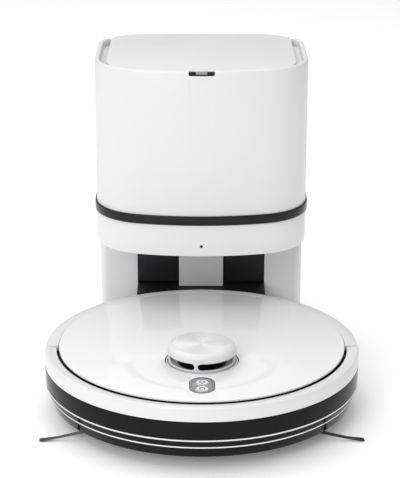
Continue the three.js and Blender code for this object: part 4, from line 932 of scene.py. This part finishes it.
core = rod(11.0, (-BRUSH_HALF, *BRUSH_AT), (BRUSH_HALF, *BRUSH_AT), 48)
pins = rod(3.5, (-BRUSH_HALF - 3, *BRUSH_AT), (BRUSH_HALF + 3, *BRUSH_AT), 24)
core = rounded(joined(core, pins), 0.4, 2)
strips = [brush_strip(n, 18.8, 1.8 if n % 2 else 2.6) for n in range(6)]
finished(joined(core, *strips), "main_brush_roll", BRISTLE, "brush", "bristle_black", "main_brush")

# %% [markdown]
# ## The side brushes
# The bristles are bound into a round bundle at the hub, and the bundle opens a little at its
# tip. Which bristle is longer or higher follows from its number, so that every run is alike.

# %% Side brushes
SIDE_X, SIDE_Y = 98.0, -167.0
SIDE_REACH = 77.0
BRISTLES = 30
DROOP = ((7.0, 11.4), (30.0, 10.2), (57.0, 3.8), (SIDE_REACH, 0.9))


def bristle(number, start, x, y):
    """One bristle: a thin three-sided rod that droops outwards from the hub."""
    share = number / (BRISTLES - 1) - 0.5
    layer = (number * 7) % 5 - 2
    radius = 0.36

    def place(column, row):
        reach, height = DROOP[column]
        reach *= 1 - 0.05 * ((number * 11) % 7) / 7 if column == 3 else 1
        spread = math.radians(start + share * (0.0, 0.0, 0.0, 2.4)[column] * (1 + layer % 2))
        lift = height + layer * (0.6, 0.5, 0.35, 0.0)[column]
        side = share * (3.6, 3.2, 2.8, 3.2)[column]
        corner = math.radians((90, 210, 330)[row])
        out, up = side + radius * math.cos(corner), radius * math.sin(corner)
        cx = x + reach * math.cos(spread) - out * math.sin(spread)
        return cx, y + reach * math.sin(spread) + out * math.cos(spread), lift + up

    return rolled(4, 3, place, ring=False)


for side_name, sign in (("left", -1), ("right", 1)):
    x = sign * SIDE_X
    hub = turned(
        [(0, 7.6), (8.6, 7.6), (11.4, 9.4), (12.0, 11.2), (12.0, 13.8), (3.4, 13.8)]
        + [(3.4, 20.0), (0, 20.0)],
        (x, SIDE_Y),
        48,
    )
    rounded(hub, 0.4, 2)
    start = 0 if sign > 0 else 180
    tufts = [bristle(n, start + turn, x, SIDE_Y) for turn in (0, 180) for n in range(BRISTLES)]
    sleeves = []
    for turn in (0, 180):
        reach = math.cos(math.radians(start + turn))
        sleeves.append(rod(3.6, (x + 9 * reach, SIDE_Y, 10.8), (x + 19 * reach, SIDE_Y, 9.8), 20))
    whole = joined(hub, *sleeves, *tufts)
    name, node = f"sweeper_{side_name}_brush", f"side_brush_{side_name}"
    finished(whole, name, BRISTLE, f"sweeper_{side_name}", "bristle_black", node)

# %% [markdown]
# # The station
# ## Its outline
# Seen from above the body has a gently bowed front, large round corners, straight sides and
# a flat back. Every ring of the body is this outline moved inwards by some amount, so one
# function draws it at any inset, always with the same number of corners, and a section can
# be carried round it.

# %% Outline
STATION_W, STATION_D = 248.0, 213.0
FRONT_CORNER_R, FRONT_BOW_R, REAR_CORNER_R = 66.0, 300.0, 58.0
BOW_STEPS, CORNER_STEPS = 20, 22


def body_outline(inset, front=None, side=None, back=None, rear=None):
    """The body's outline as (x, y) corners, moved inwards by the insets."""
    front = inset if front is None else front
    side = inset if side is None else side
    back = inset if back is None else back
    corner = FRONT_CORNER_R - side
    rear = REAR_CORNER_R - side if rear is None else rear
    half, bow, depth = STATION_W / 2 - side, FRONT_BOW_R - front, STATION_D - back
    x, middle = half - corner, front + bow
    y = middle - math.sqrt((bow - corner) ** 2 - x**2)
    lean = math.atan2(x, middle - y)
    arcs = [
        (0, middle, bow, -math.pi / 2 - lean, -math.pi / 2 + lean, BOW_STEPS),
        (x, y, corner, -math.pi / 2 + lean, 0, CORNER_STEPS),
        (half - rear, depth - rear, rear, 0, math.pi / 2, CORNER_STEPS),
        (rear - half, depth - rear, rear, math.pi / 2, math.pi, CORNER_STEPS),
        (-x, y, corner, math.pi, 1.5 * math.pi - lean, CORNER_STEPS),
    ]
    corners = []
    for cx, cy, radius, start, end, steps in arcs:
        for n in range(steps + 1):
            angle = start + (end - start) * n / steps
            x, y = cx + radius * math.cos(angle), cy + radius * math.sin(angle)
            corners.append((x, STATION_Y + y))
    corners.pop()
    return [c for c, d in zip(corners, corners[1:] + corners[:1]) if math.dist(c, d) > 1e-6]


print("outline corners:", len(body_outline(0)))

# %% [markdown]
# ## The upper housing
# The upper housing is a thin wall with a thick rounded rim. Inside the rim runs a channel,
# and the lid sits in it, so the rim stands round the lid like the edge of a tray. The
# channel narrows to nothing at the rear corners, where the lid reaches the body's outline,
# and there the rim falls away, because the lid swings back over it.

# %% Upper housing
STATION_H = 360.0
UPPER_FOOT = 189.7
CHANNEL_Z, BAY_INSET = 351.0, 19.0
LID_FOOT_Z, LID_TOP_Z = 353.2, 358.4
CHANNEL_W, LID_FRONT, LID_REAR, LID_CORNER_R = 14.0, 6.2, 11.5, 46.0


def lid_plan(grow, z0, z1):
    """The lid's own outline, cut off by the body's outline at the back."""
    insets = (LID_FRONT - grow, CHANNEL_W - grow, -LID_REAR - grow, LID_CORNER_R + grow)
    plan = prism(body_outline(0, *insets), z0, z1)
    return combined(plan, prism(body_outline(-grow), z0 - 1, z1 + 1), how="INTERSECT")



# The rim's rolled edge: how far in from the outline, and how far below the top.
RIM_ROLL = [(0.0, 2.6), (0.45, 1.1), (1.4, 0.3), (2.9, 0.0), (4.4, 0.3), (5.4, 1.1), (5.8, 2.6)]

upper = drawn(
    [
        (0.0, UPPER_FOOT),
        *[(inset, STATION_H - drop) for inset, drop in RIM_ROLL],
        (5.8, CHANNEL_Z),
        (BAY_INSET, CHANNEL_Z),
        (BAY_INSET, CHANNEL_Z - 2.5),
        (5.0, CHANNEL_Z - 2.5),
        (5.0, 344.0),
        (3.0, 344.0),
        (3.0, UPPER_FOOT),
    ],
    body_outline,
)
lid_room = lid_plan(0.9, CHANNEL_Z + 0.5, 380)
fall = [(208, STATION_H), (229, 352.9), (260, 352.9), (260, 380), (208, 380)]
swing_room = rolled(
    len(fall), 2, lambda column, row: ((-130, 130)[row], *fall[column]), loop=False
)
notch = rounded(block((-14.8, 14.8), (20, 34.9), (354.7, 380)), 2.0, 4)
HINGE = (240.5, 349.0)
HINGE_X = (-41.0, 41.0)
PIN_R, PIN_HOLE_R = 1.4, 1.75
knuckle_rooms = [block((x - 4.9, x + 4.9), (235.5, 260), (345.0, 352.0)) for x in HINGE_X]
pin_room = rod(PIN_HOLE_R, (-53, *HINGE), (53, *HINGE), 24)
combined(upper, lid_room, swing_room, notch, pin_room, *knuckle_rooms)
rounded(upper, 0.35, 2, 40)
finished(upper, "upper_housing", WHITE_SATIN, "station", "body_white", "upper_shell")

# %% [markdown]
# ## The lid and its hinge
# The lid is a thick plate with two knuckles under its back edge, which turn on a steel pin. A
# soft rubber frame under it keeps the dust in.

# %% Lid, seal and hinge
lid = lid_plan(0, LID_FOOT_Z, LID_TOP_Z)
rounded(lid, 1.3, 4, 60)
knuckles = []
for x in HINGE_X:
    barrel = rod(3.0, (x - 4.5, *HINGE), (x + 4.5, *HINGE), 40)
    web = block((x - 4.5, x + 4.5), (238.5, 242.5), (349, 353.6))
    knuckle = combined(barrel, web, how="UNION")
    knuckles.append(combined(knuckle, rod(PIN_HOLE_R, (x - 9, *HINGE), (x + 9, *HINGE), 24)))
for knuckle in knuckles:
    rounded(knuckle, 0.2, 1)
finished(joined(lid, *knuckles), "bag_bay_lid", WHITE_SATIN, "lid", "body_white", "station_lid")

seal = drawn(
    [(15.5, 351.3), (15.5, 352.3), (16.2, 352.9), (17.3, 352.9), (18.0, 352.3), (18.0, 351.3)],
    body_outline,
)
finished(rounded(seal, 0.2, 2), "lid_gasket", RUBBER, "station", "seal_rubber", "lid_seal")

pin = rod(PIN_R, (-52.4, *HINGE), (52.4, *HINGE), 32)
finished(rounded(pin, 0.3, 2), "hinge_pin", STEEL, "station", "pin_steel", "lid_hinge_pin")

# %% [markdown]
# ## The latch
# A recess in the rim leaves room for a fingertip, and a pale tab in it frees the lid. The recess
# is black as painted shade.

# %% Latch and its recess
recess = refined("latch_housing", 0.3)
# Its black is painted shade in the finger recess.
finished(recess, "latch_recess_painted_shade", BLACK_SATIN, "station", "body_black", "latch_housing")
latch = prism([(-6.5, 29.1), (6.5, 29.1), (6.5, 32.0), (-6.5, 32.0)], 356.7, 359.2)
rounded(latch, 0.7, 4, 60)
finished(latch, "latch_tab", KEY_GREY, "latch", "key_grey", "lid_latch")

# %% [markdown]
# ## The ring
# A black ring runs round the body where its two housings meet, a little proud of both.

# %% Ring round the middle
ring = drawn(
    [(-2.0, 179.0), (-2.0, 189.4), (5.0, 189.4), (5.0, 179.0)],
    body_outline,
)
finished(rounded(ring, 0.7, 3), "middle_ring", BLACK_RING, "station", "ring_black", "trim_band")

# %% [markdown]
# ## The lower housing
# Under the ring the housing makes an overhang that the robot drives under, and a column
# behind it. It starts as two upright solids, the skirt and the column, each with a hollow.
# They are joined, and then the windows, the docking block's gate and the rear openings are
# cut out of the column's walls.

# %% Lower housing
OVERHANG_Z = 140.8
COLUMN_Y = 148.0
COLUMN_Z = 5.3
COVER_HALF, SHELF_HALF = 27.0, 78.0


def column(inset, z0, z1):
    """The part of the body's outline behind the column's front wall, with round corners."""
    radius = 9.0 - inset
    x, y = STATION_W / 2 - inset - radius, COLUMN_Y + inset + radius
    front = [(-x - radius, 400.0)]
    front += [(-x + radius * math.cos(a), y + radius * math.sin(a)) for a in quarter(180)]
    front += [(x + radius * math.cos(a), y + radius * math.sin(a)) for a in quarter(270)]
    front.append((x + radius, 400.0))
    whole = prism(body_outline(inset), z0, z1)
    return combined(whole, prism(front, z0 - 1, z1 + 1), how="INTERSECT")


def quarter(start, steps=8):
    return [math.radians(start + 90 * n / steps) for n in range(steps + 1)]


lower = prism(body_outline(0), OVERHANG_Z, 178.7)
rounded(lower, 1.2, 3, 60)
combined(lower, column(0, COLUMN_Z, OVERHANG_Z + 1), how="UNION")
hollow = prism(body_outline(3), OVERHANG_Z + 2.4, 181)
combined(hollow, column(3, COLUMN_Z - 1, OVERHANG_Z + 3.4), how="UNION")
wall = (COLUMN_Y - 1, COLUMN_Y + 4)
rear_wall = (STATION_Y + STATION_D - 4, STATION_Y + STATION_D + 1)
openings = [
    block((COVER_HALF - 0.3, SHELF_HALF + 0.3), wall, (66.7, 133.3)),
    block((-SHELF_HALF - 0.3, -COVER_HALF + 0.3), wall, (66.7, 133.3)),
    block((-SHELF_HALF - 0.3, SHELF_HALF + 0.3), wall, (4.3, 67.3)),
    block((-50.3, 50.3), rear_wall, (45.7, 134.3)),
    block((23.7, 52.3), rear_wall, (13.7, 36.3)),
    rod(1.9, (0, 28, 153), (0, 35, 153)),
]
combined(lower, hollow, *openings)
bpy.ops.object.shade_smooth_by_angle(angle=math.radians(30))
finished(lower, "lower_housing", WHITE_SATIN, "station", "body_white", "lower_shell")

# %% [markdown]
# ## The docking bay
# In the recess stands a black docking block. Above it are two dark windows that the robot
# steers by, and between them a pale cover hides the suction duct. The windows are polished
# panels with a slim sill along the foot, and the cover has rounded upright edges.

# %% Windows, cover and light
for side_name, sign in (("left", -1), ("right", 1)):
    x0, x1 = sorted((sign * 27.3, sign * 77.7))
    pane = rounded(block((x0, x1), (148.4, 150.6), (67.6, 132.7)), 0.6, 3)
    sill = rounded(block((x0 + 1, x1 - 1), (148.25, 149.4), (68.4, 69.2)), 0.15, 2)
    pane = joined(pane, sill)
    name, node = f"dock_window_{side_name}", f"ir_window_{side_name}"
    finished(pane, name, SMOKED, "station", "window_black", node)

cover = block((-27.0, 27.0), (131.5, 147.7), (67.0, 140.5))
hollow = block((-25.0, 25.0), (133.5, 149.0), (69.0, 138.5))
combined(cover, hollow)
rounded(cover, 0.8, 4)
finished(cover, "duct_cover", GREY_SATIN, "station", "cover_grey", "duct_column")

light = rod(1.6, (0, 30.3, 153), (0, 36, 153), 40)
rounded(light, 0.3, 2)
finished(light, "status_light", BLACK_GLOSS, "station", "window_black", "status_led")

# %% [markdown]
# ## Base, back and inside
# The remaining pieces already have the right shape in their working solids. Each is copied,
# its triangles are run together, and its edges are rounded as a mould would round them.

# %% Base, back, inlet and inner pieces that are refined from their solids
STATION_REFINED = {
    "station_base": ("dock_base", BLACK_SATIN, "station", "body_black", 0.6),
    "base_foot": ("rubber_foot", RUBBER, "station", "seal_rubber", 0.2),
    "rear_cover": ("rear_grille", WHITE_SATIN, "station", "body_white", 0.4),
    "power_inlet": ("mains_inlet", BLACK_SATIN, "station", "body_black", 0.4),
    "suction_seal": ("port_gasket", RUBBER, "station", "seal_rubber", 0.5),
    "suction_duct": ("rising_duct", INNER_GREY, "station", "inner_grey", 0.6),
    "bag_tray": ("bag_tub", INNER_GREY, "station", "inner_grey", 0.6),
    "bag_collar": ("bag_card", FLEECE, "station", "bag_paper", 0.3),
    "vacuum_motor": ("suction_motor", BLACK_SATIN, "station", "body_black", 1.0),
    "station_impeller": ("station_rotor_wheel", INNER_GREY, "station_rotor", "inner_grey", 0.15),
    "exhaust_filter": ("exhaust_fleece", FLEECE, "station", "filter_fleece", 0.1),
    "charge_contact_left": ("charging_pad_left", PLATED, "contact_left", "contact_metal", 0.5),
    "charge_contact_right": ("charging_pad_right", PLATED, "contact_right", "contact_metal", 0.5),
}
for node, (name, material, body, slot, radius) in STATION_REFINED.items():
    finished(refined(node, radius), name, material, body, slot, node)

# %% [markdown]
# ## The dust bag
# A bag that is filled with dust swells until its seams hold it. It starts as a block that is
# cut finely, and every corner is pulled towards a round-edged pillow. A shallow tuck runs
# round the middle, where the seam is, and soft creases cross the rest.

# %% Dust bag
BAG_MIDDLE = (0.0, 139.5, 269.0)
BAG_HALF = (87.0, 65.0, 66.0)
bag = block(*[(m - h, m + h) for m, h in zip(BAG_MIDDLE, BAG_HALF)])
pick(bag)
bpy.ops.object.mode_set(mode="EDIT")
bpy.ops.mesh.select_all(action="SELECT")
bpy.ops.mesh.subdivide(number_cuts=48)
bpy.ops.object.mode_set(mode="OBJECT")
for vertex in bag.data.vertices:
    share = [(c / MM - m) / h for c, m, h in zip(vertex.co, BAG_MIDDLE, BAG_HALF)]
    size = max(abs(c) for c in share)
    pull = size / sum(abs(c) ** 3.4 for c in share) ** (1 / 3.4)
    u, v, w = share
    crease = math.sin(9 * u + 3 * math.sin(4 * v)) * math.sin(7 * w + 2 * math.sin(5 * u + v))
    tuck = 1 - 0.05 * max(0.0, 1 - abs(w) / 0.06) * (abs(u) > 0.5 or abs(v) > 0.5)
    pull *= tuck * (0.985 + 0.014 * crease)
    vertex.co = [(m + c * h * pull) * MM for c, m, h in zip(share, BAG_MIDDLE, BAG_HALF)]
bpy.ops.object.shade_smooth()
finished(bag, "filled_bag", BAG, "station", "bag_paper", "dust_bag")

# %% [markdown]
# ## The boards and the filter
# The two circuit boards and the bin's filter stay as the working solids, with real finishes.

# %% Finishes for the working solids that are left as they are
for node, material in {
    "main_board": BOARD,
    "control_board": BOARD,
    "bin_filter": FLEECE,
}.items():
    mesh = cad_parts[node].data
    mesh.materials.clear()
    mesh.materials.append(material)
    print(node, material.name)
